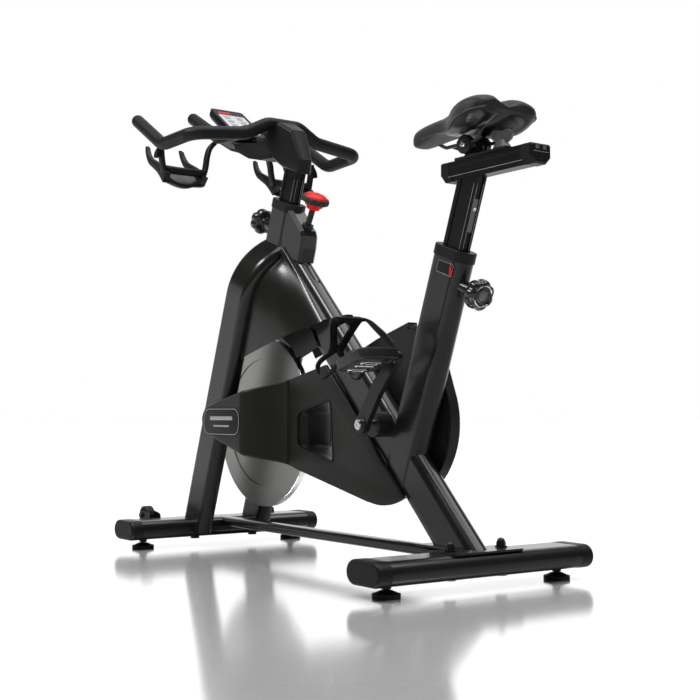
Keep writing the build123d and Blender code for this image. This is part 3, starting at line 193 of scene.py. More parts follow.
GLOSS = surface("gloss_shell", (0.003, 0.003, 0.0035), (0.005, 0.005, 0.0055), (0.26, 0.34), 300.0, 0.0,
                specular=0.3)
KNOB = surface("gloss_knob", 0.008, 0.013, (0.18, 0.30), 500.0, 0.05, coat=0.25)
GREY = surface("grey_plastic", 0.075, (0.095, 0.095, 0.093), (0.36, 0.48), 1500.0, 0.20)
SATIN = surface("satin_grey", 0.14, (0.18, 0.18, 0.178), (0.34, 0.46), 1200.0, 0.12, specular=0.4)
PALE = surface("pale_aluminium", (0.30, 0.30, 0.29), (0.40, 0.40, 0.39), (0.28, 0.40), 800.0, 0.10,
               metallic=0.8)
RED = surface("red_plastic", (0.62, 0.004, 0.004), (0.70, 0.007, 0.006), (0.30, 0.40), 600.0, 0.05,
              specular=0.15)
SCREEN = surface("screen_white", (0.50, 0.51, 0.52), (0.54, 0.55, 0.56), (0.20, 0.28), 300.0, 0.01,
                 specular=0.3)
SCREEN_GREY = surface("screen_grey", (0.16, 0.165, 0.17), (0.19, 0.195, 0.20), (0.20, 0.28), 300.0, 0.01,
                      specular=0.3)
AXLE_CENTRE = tuple(at(270, 0, 304.5))
FLYWHEEL = turned_steel("turned_steel", AXLE_CENTRE, (0.27, 0.27, 0.262), (0.37, 0.37, 0.358), 0.1975)

FINISHES = {
    PAINT: "main_beam seat_tube head_tube fork_left fork_right front_stabiliser rear_stabiliser "
           "lower_beam rear_base_plate flywheel_hood",
    GUARD: "left_guard drive_cover drive_cover_back brake_fittings",
    BLACK: "post_collars stabiliser_caps slide_end_caps stem_cover console_bracket "
           "bottle_holders left_toe_cage right_toe_cage",
    COATED: "handlebar",
    ANODISED: "seat_post seat_slide_rail handlebar_post",
    DARK_STEEL: "crank_housing wheel_brackets drive_pulley left_crank right_crank saddle_carriage "
                "saddle_rails brake_rod brake_caliper frame_fasteners",
    BRIGHT: "flywheel_axle flywheel_hub crank_axle crank_bolts pedal_axles seat_post_pin "
            "handlebar_post_pin",
    CAST: "left_pedal right_pedal",
    RUBBER: "drive_belt foot_front_left foot_front_right foot_rear_left foot_rear_right "
            "left_wheel right_wheel",
    LEATHER: "saddle_cushion",
    GLOSS: "saddle_shell console",
    KNOB: "seat_post_knob handlebar_post_knob",
    GREY: "saddle_knob",
    RED: "brake_knob",
    FLYWHEEL: "flywheel",
}


def paint_nodes():
    """Gives each CAD piece its finish."""
    for mat, names in FINISHES.items():
        for name in names.split():
            node = NODES[name]
            if not node.material_slots:
                node.data.materials.append(mat)
            for slot in node.material_slots:
                slot.material = mat


# Body, finish and slot of the commonest kinds of piece.
GUARD_PART = ("frame", GUARD, "guard_plastic")
FRAME_MARK = ("frame", PALE, "grey_plastic")
FRAME_PLATE = ("frame", BLACK, "black_plastic")
BAR_BLACK = ("handlebar_post", BLACK, "black_plastic")
BAR_GREY = ("handlebar_post", GREY, "grey_plastic")
BAR_HIGHLIGHT = ("handlebar_post", PALE, "grey_plastic")
POST_GREY = ("seat_post", GREY, "grey_plastic")
POST_MARK = ("seat_post", PALE, "grey_plastic")
SADDLE_TRIM = ("saddle", PIPING, "saddle_cover")
BRAKE_RED = ("brake_knob", RED, "red_plastic")

# ---- Shape helpers ----

WELD = 0.00002  # metres
BEVEL_ANGLE = radians(40)
SOLID_SHARP, PLATE_SHARP, ROUND_SHARP = 40, 30, 60  # degrees above which an edge is drawn hard


def lean(x, z, degrees):
    """From a leaning plane's millimetres to the row frame; its x points forward and its z leans back."""
    back = radians(degrees)
    turn = Matrix(((cos(back), 0, -sin(back), 0), (0, 1, 0, 0),
                   (sin(back), 0, cos(back), 0), (0, 0, 0, 1)))
    return Matrix.Translation(at(x, 0, z)) @ turn @ Matrix.Scale(MILLI, 4)


WORLD = Matrix.Translation(at(0, 0, 0)) @ Matrix.Scale(MILLI, 4)
SEAT = lean(-397.5, 550, 20.4)
HEAD = lean(200.5, 724, 20.4)
BRAKE = lean(92, 744.5, 29.2)
BEAM = lean(-512.5, 0, -45)
CONSOLE = lean(404, 1051, 35.8)


def along(plane, height, forward):
    """From millimetres about a line square to a leaning plane: z runs out along its x axis, or against it."""
    sign = 1 if forward else -1
    turn = Matrix(((0, 0, sign, 0), (sign, 0, 0, 0), (0, 1, 0, height), (0, 0, 0, 1)))
    return plane @ turn


def side_view(y, outward=1):
    """A plane seen from the side: its x runs forward, its y up, and its z away from the bike."""
    return WORLD @ Matrix(((1, 0, 0, 0), (0, 0, outward, y), (0, 1, 0, 0), (0, 0, 0, 1)))


def smooth_line(points, steps):
    """A Catmull-Rom curve through points of any dimension."""
    line = []
    last = len(points) - 1
    for i in range(last):
        p0, p1, p2, p3 = points[max(i - 1, 0)], points[i], points[i + 1], points[min(i + 2, last)]
        for step in range(steps):
            t = step / steps
            line.append(tuple(0.5 * (2 * b + (c - a) * t + (2 * a - 5 * b + 4 * c - d) * t * t
                                     + (3 * b - a - 3 * c + d) * t ** 3)
                              for a, b, c, d in zip(p0, p1, p2, p3)))
    return line + [tuple(points[last])]


def ease(value):
    value = min(max(value, 0.0), 1.0)
    return value * value * (3 - 2 * value)


def heading(line, i):
    """The direction of a line of vectors at one of its points."""
    return (line[min(i + 1, len(line) - 1)] - line[max(i - 1, 0)]).normalized()


def add_to_scene(name, data):
    thing = bpy.data.objects.new(name, data)
    bpy.context.scene.collection.objects.link(thing)
    return thing


def plain_mesh(thing):
    """An object's mesh with its modifiers or its bevel made real."""
    return bpy.data.meshes.new_from_object(thing.evaluated_get(bpy.context.evaluated_depsgraph_get()))


def add_modifier(piece, kind, **settings):
    modifier = piece.modifiers.new(kind.lower(), kind)
    for key, value in settings.items():
        setattr(modifier, key, value)


def make_piece(name, verts, faces, body, mat, slot, replaces=(), sharp=35, thick=0.0, bevel=0.0, levels=0):
    """A mesh in the row frame's metres that rides on a body; thick and bevel are in metres too."""
    mesh = bpy.data.meshes.new(name)
    mesh.from_pydata([tuple(v) for v in verts], [], faces)
    work = bmesh.new()
    work.from_mesh(mesh)
    bmesh.ops.remove_doubles(work, verts=work.verts, dist=WELD)
    bmesh.ops.recalc_face_normals(work, faces=work.faces)
    work.to_mesh(mesh)
    work.free()
    piece = add_to_scene(name, mesh)
    if thick:
        add_modifier(piece, "SOLIDIFY", thickness=thick, offset=0.0)
    if bevel:
        add_modifier(piece, "BEVEL", width=bevel, segments=2, limit_method="ANGLE", angle_limit=BEVEL_ANGLE)
    if levels:
        add_modifier(piece, "SUBSURF", levels=levels, render_levels=levels)
    if thick or bevel or levels:
        mesh = plain_mesh(piece)
        piece.modifiers.clear()
        piece.data = mesh
    piece.data.shade_smooth()
    piece.data.set_sharp_from_angle(angle=radians(sharp))
    piece.data.materials.clear()
    piece.data.materials.append(mat)
    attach(piece, body)
    if replaces:
        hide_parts(*replaces)
    return piece


def skin(rings, closed=True, caps=2):
    """Verts and faces of a surface through rings of points; a single cap closes its far end."""
    verts = [point for ring in rings for point in ring]
    count = len(rings[0])
    faces = []
    for i in range(len(rings) - 1):
        for j in range(count if closed else count - 1):
            k = (j + 1) % count
            faces.append((i * count + j, i * count + k, (i + 1) * count + k, (i + 1) * count + j))
    if caps == 2:
        faces.append(tuple(reversed(range(count))))
    if caps:
        faces.append(tuple(range((len(rings) - 1) * count, len(rings) * count)))
    return verts, faces


def sheet(rings):
    return skin(rings, closed=False, caps=0)


def lathe(name, profile, place, body, mat, slot, lobes=0, depth=0.0, beyond=0.0, steps=84, replaces=(),
          sharp=SOLID_SHARP):
    """A turned shape from (radius, height) points; with lobes, its grip is scalloped beyond a radius."""
    rings = []
    for radius, height in profile:
        ring = []
        for step in range(steps):
            angle = 2 * pi * step / steps
            dip = depth * (0.5 + 0.5 * cos(lobes * angle)) ** 2 if lobes and radius > beyond else 0.0
            r = max(radius - dip, 0.01)
            ring.append(place @ Vector((r * cos(angle), r * sin(angle), height)))
        rings.append(ring)
    return make_piece(name, *skin(rings), body, mat, slot, replaces, sharp)


def rounded(width, height, radius, centre=(0, 0), steps=6):
    """A rounded rectangle's outline."""
    points = []
    for cx, cy, start in ((1, 1, 0), (-1, 1, 90), (-1, -1, 180), (1, -1, 270)):
        for step in range(steps + 1):
            angle = radians(start + 90 * step / steps)
            points.append((centre[0] + cx * (width / 2 - radius) + radius * cos(angle),
                           centre[1] + cy * (height / 2 - radius) + radius * sin(angle)))
    return points


def slab(name, outlines, low, high, place, body, mat, slot, soft=0.5, replaces=()):
    """A flat plate with softened edges from one outline and its holes, in a plane's millimetres."""
    curve = bpy.data.curves.new(name, "CURVE")
    curve.dimensions, curve.fill_mode = "2D", "BOTH"
    for outline in outlines:
        spline = curve.splines.new("POLY")
        spline.points.add(len(outline) - 1)
        for point, (x, y) in zip(spline.points, outline):
            point.co = (x, y, 0, 1)
        spline.use_cyclic_u = True
    curve.extrude = max((high - low) / 2 - soft, 0.01)
    curve.bevel_depth, curve.bevel_resolution, curve.offset = soft, 2, -soft
    holder = add_to_scene(name, curve)
    bpy.context.view_layer.update()
    flat = plain_mesh(holder)
    bpy.data.objects.remove(holder)
    shift = Matrix.Translation((0, 0, (low + high) / 2))
    verts = [place @ shift @ v.co for v in flat.vertices]
    faces = [tuple(f.vertices) for f in flat.polygons]
    return make_piece(name, verts, faces, body, mat, slot, replaces, PLATE_SHARP)


def band(name, points, across, width, thick, place, body, mat, slot, steps=6, replaces=()):
    """A flat band of rounded section along a smooth line, its width along a fixed direction."""
    line = [Vector(p) for p in smooth_line(points, steps)]
    across = Vector(across).normalized()
    section = rounded(width, thick, min(width, thick) * 0.42, steps=3)
    rings = []
    for i, point in enumerate(line):
        ahead = heading(line, i)
        side = (across - ahead * across.dot(ahead)).normalized()
        up = ahead.cross(side)
        rings.append([place @ (point + side * x + up * y) for x, y in section])
    return make_piece(name, *skin(rings), body, mat, slot, replaces, SOLID_SHARP)


def wire(name, points, radius, place, body, mat, slot, steps=1):
    """A round wire or tube along a smooth line."""
    line = [Vector(p) for p in smooth_line(points, steps)]
    rings = []
    side = None
    for i, point in enumerate(line):
        ahead = heading(line, i)
        side = side or (Vector((0, 0, 1)) if abs(ahead.z) < 0.9 else Vector((1, 0, 0)))
        side = (side - ahead * side.dot(ahead)).normalized()
        up = ahead.cross(side)
        rings.append([place @ (point + (side * cos(a) + up * sin(a)) * radius)
                      for a in (radians(30 * k) for k in range(12))])
    return make_piece(name, *skin(rings), body, mat, slot, (), ROUND_SHARP)


# ---- Saddle ----

# Across the saddle at each x: half width, top of the lobes, height of the cover's lower edge,
# lowest point, and how far the middle sinks between the lobes.
SADDLE_ROWS = [(-317, 8, 880, 872, 866, 0), (-321, 16, 888, 871, 861, 0), (-333, 22, 895, 869, 858, 0),
               (-360, 26, 900, 869, 861, 1), (-395, 29, 903, 871, 866, 2), (-425, 33, 904, 870, 868, 3),
               (-448, 41, 907, 866, 865, 5), (-470, 53, 910, 863, 862, 8), (-495, 68, 916, 867, 865, 10),
               (-520, 79, 919, 872, 869, 12), (-545, 84, 919, 877, 873, 14), (-565, 83, 917, 881, 877, 15),
               (-580, 75, 912, 884, 880, 14), (-588, 60, 904, 887, 884, 10)]
SADDLE_STEPS, SADDLE_SIDES = 3, 64  # sections between two rows, and points around each
PIPING_ROW, SEAM_ROW = 3, 4  # the rows where the piping and the seam on top begin
NOTCH_DEPTH, NOTCH_HALF = 13.0, 24  # the curve of the rear edge in between the lobes
NOTCH_START, NOTCH_RUN = 545, 42  # where it begins behind the origin, and the length it takes
# Under the pad at each x: half width, height of the edge, and how deep the bowls hang.
SHELL_ROWS = [(-440, 28, 865, 1), (-455, 40, 864, 4), (-480, 55, 864, 7), (-510, 73, 869, 14),
              (-540, 81, 875, 20), (-562, 81, 880, 18), (-578, 73, 883, 12), (-585, 60, 885, 6)]
SHELL_STEPS = 40


def notch(x, y):
    """How far forward of its row a point lies, for the rear edge to curve in."""
    return NOTCH_DEPTH * ease((-x - NOTCH_START) / NOTCH_RUN) * exp(-(y / NOTCH_HALF) ** 2)


def saddle_point(row, angle):
    x, half, top, edge, low, sink = row
    c, s = cos(angle), sin(angle)
    y = half * copysign(abs(c) ** 0.80, c)
    if s >= 0:
        z = edge + (top - edge) * s ** 0.62
        z -= sink * exp(-(y / 17) ** 2) * s
    else:
        z = edge - (edge - low) * abs(s) ** 0.6
    return Vector((x + notch(x, y), y, z))


def make_saddle():
    rows = smooth_line(SADDLE_ROWS, SADDLE_STEPS)
    rings = [[WORLD @ saddle_point(row, 2 * pi * k / SADDLE_SIDES) for k in range(SADDLE_SIDES)]
             for row in rows]
    pad = make_piece("saddle_pad", *skin(rings), "saddle", LEATHER, "saddle_cover", ("saddle_cushion",), 70,
                     levels=1)
    edge = [saddle_point(row, 0.0) for row in rows[PIPING_ROW * SADDLE_STEPS:]]
    for side, tag in SIDES:
        line = [(p.x, side * (p.y - 0.6), p.z - 0.4) for p in edge]
        wire(f"saddle_piping_{tag}", line, 1.3, WORLD, *SADDLE_TRIM)
    left = [saddle_point(row, radians(24)) for row in rows[SEAM_ROW * SADDLE_STEPS:]]
    rear = [saddle_point(rows[-1], radians(angle)) for angle in range(32, 150, 8)]
    right = [Vector((p.x, -p.y, p.z)) for p in reversed(left)]
    wire("saddle_seam", [(p.x, p.y, p.z + 0.1) for p in left + rear + right], 0.7, WORLD, *SADDLE_TRIM)


def make_saddle_clamp():
    """The clamp's two cheeks and their bolt, turned about a line across the bike."""
    centre = WORLD @ Matrix.Translation((-487, 0, 838)) @ Matrix.Rotation(radians(90), 4, "X")
    cheek = [(18.5, 17), (18.5, 26.5), (17, 28.6), (11, 29.4), (7.5, 29), (7.5, 20.5), (6.5, 19), (0.5, 19)]
    bolt = [(6.6, 18), (6.6, 30), (5.6, 31.4), (3.2, 31.6), (2.8, 29.5), (0.4, 29.5)]
    for side, tag in SIDES:
        place = centre @ Matrix.Scale(-side, 4, (0, 0, 1))
        lathe(f"saddle_clamp_{tag}", cheek, place, "saddle", DARK_STEEL, "dark_steel", steps=48)
        lathe(f"saddle_clamp_bolt_{tag}", bolt, place, "saddle", BRIGHT, "bright_steel", steps=32)


def make_saddle_shell():
    """The hard shell under the pad: two bowls, one under each lobe, and an arch between them."""
    rings = []
    for x, half, edge, drop in smooth_line(SHELL_ROWS, SADDLE_STEPS):
        ring = []
        for k in range(SHELL_STEPS + 1):
            share = -1 + 2 * k / SHELL_STEPS
            y = half * copysign(abs(share) ** 0.9, share)
            bowl = sin(pi * abs(share) ** 1.35) ** 0.8 if abs(share) < 1 else 0.0
            ring.append(WORLD @ Vector((x + notch(x, y), y, edge - 1 - drop * bowl)))
        for k in range(SHELL_STEPS - 1, 0, -1):
            share = -1 + 2 * k / SHELL_STEPS
            y = half * copysign(abs(share) ** 0.9, share) * 0.97
            ring.append(WORLD @ Vector((x + notch(x, y), y, edge + 3)))
        rings.append(ring)
    make_piece("saddle_shell_moulding", *skin(rings), "saddle", GLOSS, "shell_plastic", ("saddle_shell",), 50)


# ---- Knobs ----

# Radius and height above the collar's face of a pull knob, from its middle out and back under.
PULL_KNOB = [(0.5, 36), (12, 36), (14, 35), (15, 33.5), (18, 33.5), (20, 36), (24, 37.5), (28, 35),
             (30.5, 30), (31, 24), (30.5, 18), (28, 12), (23, 9), (17, 8), (14, 6), (13, 1), (0.5, 1)]
# The same above the brake rod's seat, for the knob's neck and for the rubber ring around it.
BRAKE_SEAT = 52
BRAKE_NECK = [(0.5, 0), (14.5, 0), (16, 1.5), (16, 5), (17, 6.5), (20.5, 7.5), (21, 9), (21, 13), (22.5, 15),
              (26, 17), (0.5, 17)]
BRAKE_RING = [(22, 15), (28, 14.5), (31.5, 16.5), (33, 20.5), (32.6, 25), (30, 28.5), (27, 29.5), (24, 29)]
# The saddle knob's cone above the carriage, and the outline of its wing.
SADDLE_KNOB_BASE = 816.9
SADDLE_CONE = [(4, -12), (4, 0), (16.5, 0), (17.5, 2), (16, 7), (11, 13), (8.5, 18), (0.5, 18)]
SADDLE_WING = [(-8, 11), (-12, 14), (-19, 20), (-21, 29), (-17, 36), (-8, 37), (0, 35), (9, 37), (17, 36),
               (21, 29), (19, 20), (12, 14), (8, 11)]


def raised(profile, height):
    return [(across, height + up) for across, up in profile]


def pull_knob(name, plane, height, forward, face, body):
    """A scalloped knob on a pull pin, its face so far out from the line it pulls along."""
    place = along(plane, height, forward)
    lathe(name, raised(PULL_KNOB, face), place, body, KNOB, "knob_plastic", lobes=7, depth=3.0, beyond=22.0,
          replaces=(body,))
    for part, start, stop in (("a", 20, 150), ("b", 205, 320)):
        arc = [(20.5 * cos(radians(a)), 20.5 * sin(radians(a)), face + 36.6)
               for a in range(start, stop + 1, 10)]
        wire(f"{name}_ring_{part}", arc, 1.1, place, body, BRIGHT, "bright_steel")
    lathe(name + "_button", raised([(0.5, 37.5), (6, 37.3), (9, 36), (9.5, 34)], face), place, body, GREY,
          "knob_plastic")


def make_brake_knob():
    lathe("brake_knob_neck", raised(BRAKE_NECK, BRAKE_SEAT), BRAKE, *BRAKE_RED, replaces=("brake_knob",))
    lathe("brake_knob_ring", raised(BRAKE_RING, BRAKE_SEAT), BRAKE, "brake_knob", RUBBER, "knob_plastic",
          lobes=12, depth=1.6, beyond=29.0, steps=144)
    dome = [(27.2 * cos(radians(a)), BRAKE_SEAT + 27.5 + 9.5 * sin(radians(a)))
            for a in range(0, 90, 9)]
    lathe("brake_knob_dome", [(26, BRAKE_SEAT + 24)] + dome + [(0.5, BRAKE_SEAT + 37)], BRAKE, *BRAKE_RED,
          sharp=ROUND_SHARP)
    slab("brake_knob_mark", [rounded(9, 1.6, 0.7)], BRAKE_SEAT + 36.7, BRAKE_SEAT + 37.3, BRAKE, "brake_knob",
         BLACK, "knob_plastic", 0.1)


def make_saddle_knob():
    base = SADDLE_KNOB_BASE
    knob = WORLD @ Matrix.Translation((-566, 0, 0)) @ Matrix.Rotation(radians(28), 4, "Z")
    lathe("saddle_knob_cone", raised(SADDLE_CONE, base), knob, "saddle_knob", SATIN, "grey_plastic",
          replaces=("saddle_knob",))
    upright = knob @ Matrix(((1, 0, 0, 0), (0, 0, -1, 0), (0, 1, 0, 0), (0, 0, 0, 1)))
    grey = ("saddle_knob", GREY, "grey_plastic")
    slab("saddle_knob_wing", [smooth_line(raised(SADDLE_WING, base), 4)], -6.5, 6.5, upright, *grey, soft=2.4)
    for side, tag in ((1, "n"), (-1, "f")):
        for k in range(4):
            x, y = 11 + 2 * k, side * 6.6
            band(f"saddle_knob_rib_{tag}{k}", [(x, y, base + 19 + k), (x, y, base + 33)], (1, 0, 0), 0.9, 1.0,
                 knob, *grey, steps=1)


def make_knobs():
    pull_knob("seat_knob_grip", SEAT, 36.5, False, 71, "seat_post_knob")
    pull_knob("bar_knob_grip", HEAD, 30.7, True, 77, "handlebar_post_knob")
    make_brake_knob()
    make_saddle_knob()


# ---- Left guard ----

CRANK_X, CRANK_Z = -230, 304  # the crank's axle
ROUND_RADIUS = 165  # of the guard about the crank
ROUND_FROM, ROUND_TO = 75.2, 117.3  # degrees below the horizontal, down to the beam
WINDOW_CORNERS = ((81, 328), (80, 249), (-66, 219), (-54, 357))
WINDOW_REAR, WINDOW_LENGTH = -66, 147
WINDOW_SOFT = 13  # how far from its corners the window's sides begin to turn
FLARE_START, CAP_END = 116, 336  # where the flare begins, and where the cap's end begins to round
# The tunnel behind the window: y, and the x of its front edge.
TUNNEL_ROWS = ((31, 81), (22, 74), (12, 66), (-14, 66), (-32, 66), (-56, 80))


def left_guard_outline():
    """The plate's side view: the part of the round guard and its arm that lies in front of the beam."""
    points = [(-31.4, 431.6), (8, 423.5), (119, 401), (119, 210), (77, 199), (-188, 143)]
    for step in range(1, 19):
        angle = radians(-ROUND_FROM - (ROUND_TO - ROUND_FROM) * step / 18)
        points.append((CRANK_X + ROUND_RADIUS * cos(angle), CRANK_Z + ROUND_RADIUS * sin(angle)))
    return points


def window(grow):
    """The window's outline, grown by a few millimetres, with its corners rounded off."""
    corners = [Vector(p) for p in WINDOW_CORNERS]
    centre = sum(corners, Vector((0, 0))) / 4
    points = []
    for i, corner in enumerate(corners):
        out = (corner - centre).normalized() * grow * 1.25
        before = (corners[i - 1] - corner).normalized() * WINDOW_SOFT
        after = (corners[(i + 1) % 4] - corner).normalized() * WINDOW_SOFT
        for k in range(5):
            t = k / 4
            point = (corner + before) * (1 - t) ** 2 + corner * 2 * t * (1 - t) + (corner + after) * t * t
            points.append(tuple(point + out))
    return points


def flare_section(x):
    """Height range and outer face of the guard's flare and cap at x."""
    outer = 34 + 86 * ease((x - 112) / 74)
    low = 210 + (x - 118) * 0.32 if x < 174 else 228 + (x - 174) * 0.285
    high = 401 - (x - 118) * 0.40 if x < 174 else 378.6 - (x - 174) * 0.205
    if x > CAP_END:
        pinch = (1 - sqrt(max(1 - ((x - CAP_END) / 25) ** 2, 0.0))) * 22
        low, high = low + pinch, high - pinch
    return low, high, outer


def flare_ring(x):
    """The flare's section at x: from its inner edge below, around its outer face, and back above."""
    low, high, outer = flare_section(x)
    inner = 25 + (78 - 25) * ease((x - FLARE_START) / 64)
    soft = min(4 + 5 * ease((x - FLARE_START) / 60), (outer - inner) * 0.45)
    turns = [radians(18 * k) for k in range(6)]
    ring = [(inner, low)]
    ring += [(outer - soft + soft * sin(a), low + soft - soft * cos(a)) for a in turns]
    ring += [(outer, low + soft + (high - low - 2 * soft) * k / 8) for k in range(1, 8)]
    ring += [(outer - soft + soft * cos(a), high - soft + soft * sin(a)) for a in turns]
    ring += [(inner, high)]
    return [WORLD @ Vector((x, y, z)) for y, z in ring]


def make_left_guard():
    plane = side_view(0)
    slab("left_guard_plate", [left_guard_outline(), window(0)], 24, 34, plane, *GUARD_PART, 2.4,
         ("left_guard",))
    stops = [FLARE_START + 4 * k for k in range(20)]
    stops += [200, 215, 235, 255, 275, 295, 315, 330, 338, 345, 351, 356, 359, 360.5]
    rings = [flare_ring(x) for x in stops]
    make_piece("left_guard_flare", *skin(rings, closed=False, caps=1), *GUARD_PART,
               sharp=SOLID_SHARP, thick=0.0016)
    slab("window_rim", [window(0.5), window(-4.0)], 12, 35.2, plane, *GUARD_PART, 0.8)
    rings = []
    for y, front in TUNNEL_ROWS:
        stretch = front - WINDOW_REAR
        rings.append([WORLD @ Vector((WINDOW_REAR + (x - WINDOW_REAR) * stretch / WINDOW_LENGTH, y, z))
                      for x, z in window(-0.4)])
    make_piece("window_tunnel", *skin(rings, caps=0), *GUARD_PART, sharp=PLATE_SHARP, thick=0.0015)


def make_guard_label():
    """A plain outlined plate with two bars on the flat end of the cap."""
    label = side_view(120.6)
    middle = (268, 306)
    slab("guard_label", [rounded(168, 66, 24, middle)], 0, 1.0, label, *FRAME_PLATE, 0.3)
    marks = {"line": [rounded(162, 60, 22, middle), rounded(159, 57, 20.6, middle)],
             "bar": [rounded(104, 9, 3.5, (268, 314))], "dash": [rounded(72, 4, 1.8, (268, 296))]}
    for part, outlines in marks.items():
        slab(f"guard_label_{part}", outlines, 0.8, 1.3, label, *FRAME_MARK, 0.1)


# ---- Hood ----

LEG_RADIUS, LEG_CENTRE = 136.84, -54.84  # the bend at the top of a fork leg, and its centre across the bike
LEG_FOOT, LEG_STRAIGHT = -276, 141.0  # where the hood begins on the leg, and its run to the bend
LEG_BEND = radians(66)
HOOD_STEPS = 24


def leg_line(share):
    """The fork leg's centreline in the head's plane, as (y, z), from the hood's foot up to its head."""
    travel = share * (LEG_STRAIGHT + LEG_RADIUS * LEG_BEND)
    if travel < LEG_STRAIGHT:
        return 82.0, LEG_FOOT + travel
    angle = (travel - LEG_STRAIGHT) / LEG_RADIUS
    return LEG_CENTRE + LEG_RADIUS * cos(angle), LEG_FOOT + LEG_STRAIGHT + LEG_RADIUS * sin(angle)


def make_hood():
    """Two panels that swell from the fork's legs to a crest along the top of the main beam."""
    for side, tag in SIDES:
        rings = []
        for step in range(HOOD_STEPS + 1):
            share = step / HOOD_STEPS
            y, z = leg_line(share)
            leg = HEAD @ Vector((-42, y - 2, z))
            root = WORLD @ Vector((-18 + share * 178, 24.5, 525 + share * 178))
            crest = root + Vector((0.004, 0.016, -0.004)) * (1 - 0.6 * share)
            chord = crest - leg
            swell = Vector((-0.3, 0.8, 0.3)) * 0.012 * (1 - share)
            points = [leg, leg + chord * 0.3 + swell * 0.8, leg + chord * 0.62 + swell,
                      leg + chord * 0.9 + swell * 0.4, crest + Vector((-0.004, -0.003, 0.004)),
                      root + Vector((-0.006, 0.003, 0.006)), root + Vector((-0.006, -0.001, 0.006))]
            line = smooth_line([tuple(point) for point in points], 4)
            rings.append([Vector((x, side * y, z)) for x, y, z in line])
        make_piece(f"hood_panel_{tag}", *sheet(rings), "frame", PAINT, "guard_plastic", ("flywheel_hood",),
                   ROUND_SHARP, thick=0.002)


# ---- Pedals ----

# A pedal's own millimetres: x forward along the platform, y across it, z up; its crank is at y = 0.
CAGE_LINE = [(40, 9), (64, 0), (88, -8), (104, -12), (117, -5), (122, 8), (121, 22), (115, 34), (107, 44),
             (98, 54), (88, 64), (78, 75), (68, 85), (59, 92), (50, 94), (40, 92)]
# Along the same line: half the cage's width, and half the width of the window in its middle.
CAGE_WIDTHS = [(40, 0), (42, 30), (44, 35), (45, 37), (45, 37), (44, 36), (42, 31), (33, 16), (19, 0),
               (20, 0), (24, 6), (29, 11), (34, 14), (37, 0), (38, 0), (36, 0)]
STRAP_LINE = [(50, 72, 97), (49, 45, 98.5), (46, 24, 97), (37, 13, 86), (19, 9, 64), (0, 9, 43),
              (-15, 10, 24), (-20, 11, 4)]
PEDAL_MIDDLE, PEDAL_TILT = 55, -15  # millimetres from the crank, and degrees: toes down
CRANK_FACE = 84  # from the bike's middle out to where a pedal's places begin


def make_toe_cage(name, tag, place, body, black):
    rows = smooth_line([a + b for a, b in zip(CAGE_LINE, CAGE_WIDTHS)], 4)
    for half, suffix in ((1, "outer"), (-1, "inner")):
        rings = []
        for x, z, width, gap in rows:
            gap = max(gap, 0.0)
            rings.append([place @ Vector((x, PEDAL_MIDDLE + half * (gap + (width - gap) * k / 3), z))
                          for k in range(4)])
        make_piece(f"{name}_cage_{suffix}", *sheet(rings), *black, (f"{tag}_toe_cage",), thick=0.0046,
                   bevel=0.0012)
    band(f"{name}_cage_brim", [(41, 20, 92), (41, 55, 92.5), (41, 90, 92)], (1, 0, 0.1), 9, 7, place, *black)
    band(f"{name}_strap", STRAP_LINE, (1, 0, 0.5), 15, 3.6, place, *black)
    band(f"{name}_buckle", [(50, 62, 101), (49.5, 48, 101)], (1, 0, 0.2), 18, 5, place, *black, steps=2)


def make_pedal(side, tag, x, z):
    """A platform with a cleat binding under it, and its toe cage."""
    name = body = f"{tag}_pedal"
    place = lean(x, z, PEDAL_TILT)
    if side < 0:
        place = place @ Matrix.Scale(-1, 4, (0, 1, 0))
    place = place @ Matrix.Translation((0, CRANK_FACE, 0))
    make_toe_cage(name, tag, place, body, (body, BLACK, "black_plastic"))
    cast, bright = (body, CAST, "pedal_cast"), (body, BRIGHT, "bright_steel")
    below = place @ Matrix.Translation((0, PEDAL_MIDDLE, 0))
    slab(f"{name}_platform", [rounded(98, 92, 15, (6, 2)), rounded(25, 66, 7, (34, 2)),
                              rounded(27, 66, 7, (-22, 2))], -13, 8, below, *cast, 2.4, (name,))
    lathe(f"{name}_boss", [(0.5, 8), (13, 8), (15, 12), (15, 96), (12, 102), (0.5, 103)],
          place @ Matrix.Rotation(radians(-90), 4, "X"), *cast, steps=48)
    slab(f"{name}_cleat_bed", [rounded(84, 52, 9, (2, 14))], -16, -9, below, *cast, 1.6)
    slab(f"{name}_cleat_claw", [rounded(16, 44, 7, (24, 16)), rounded(6, 26, 2.4, (24, 16))], -21, -15.6,
         below, *bright, 1.2)
    slab(f"{name}_cleat_jaw", [rounded(18, 46, 8, (-22, 16)), rounded(7, 28, 3, (-22, 16))], -21, -15.6,
         below, *bright, 1.2)
    wire(f"{name}_spring", [(1, -4, -17), (1, 16, -17), (1, 36, -17)], 3.4, below, *bright, steps=2)
    for k in range(3):
        for y, end in ((-34, "b"), (34, "a")):
            lathe(f"{name}_pin_{k}{end}", [(2.2, 5), (2.2, 8.2), (1.2, 8.8), (0.5, 8.8)],
                  below @ Matrix.Translation((-36 + 36 * k, y, 0)), *bright, steps=12)


def make_pedals():
    make_pedal(1, "left", -339.3, 434.2)
    make_pedal(-1, "right", -120.7, 173.8)
    for side, tag in SIDES:
        place = side_view(side * 89, side) @ Matrix.Translation((CRANK_X, CRANK_Z, 0))
        lathe(f"{tag}_crank_cap", [(10.5, -1), (10.5, 0.6), (9, 1.4), (5.2, 1.4), (4.6, -1.5), (0.5, -1.5)],
              place, "crank", BRIGHT, "bright_steel")


# ---- Posts, rail, beam and badge ----

RAIL_REAR, RAIL_SIDE = -668, 25.1  # the rail's rear face, and its side


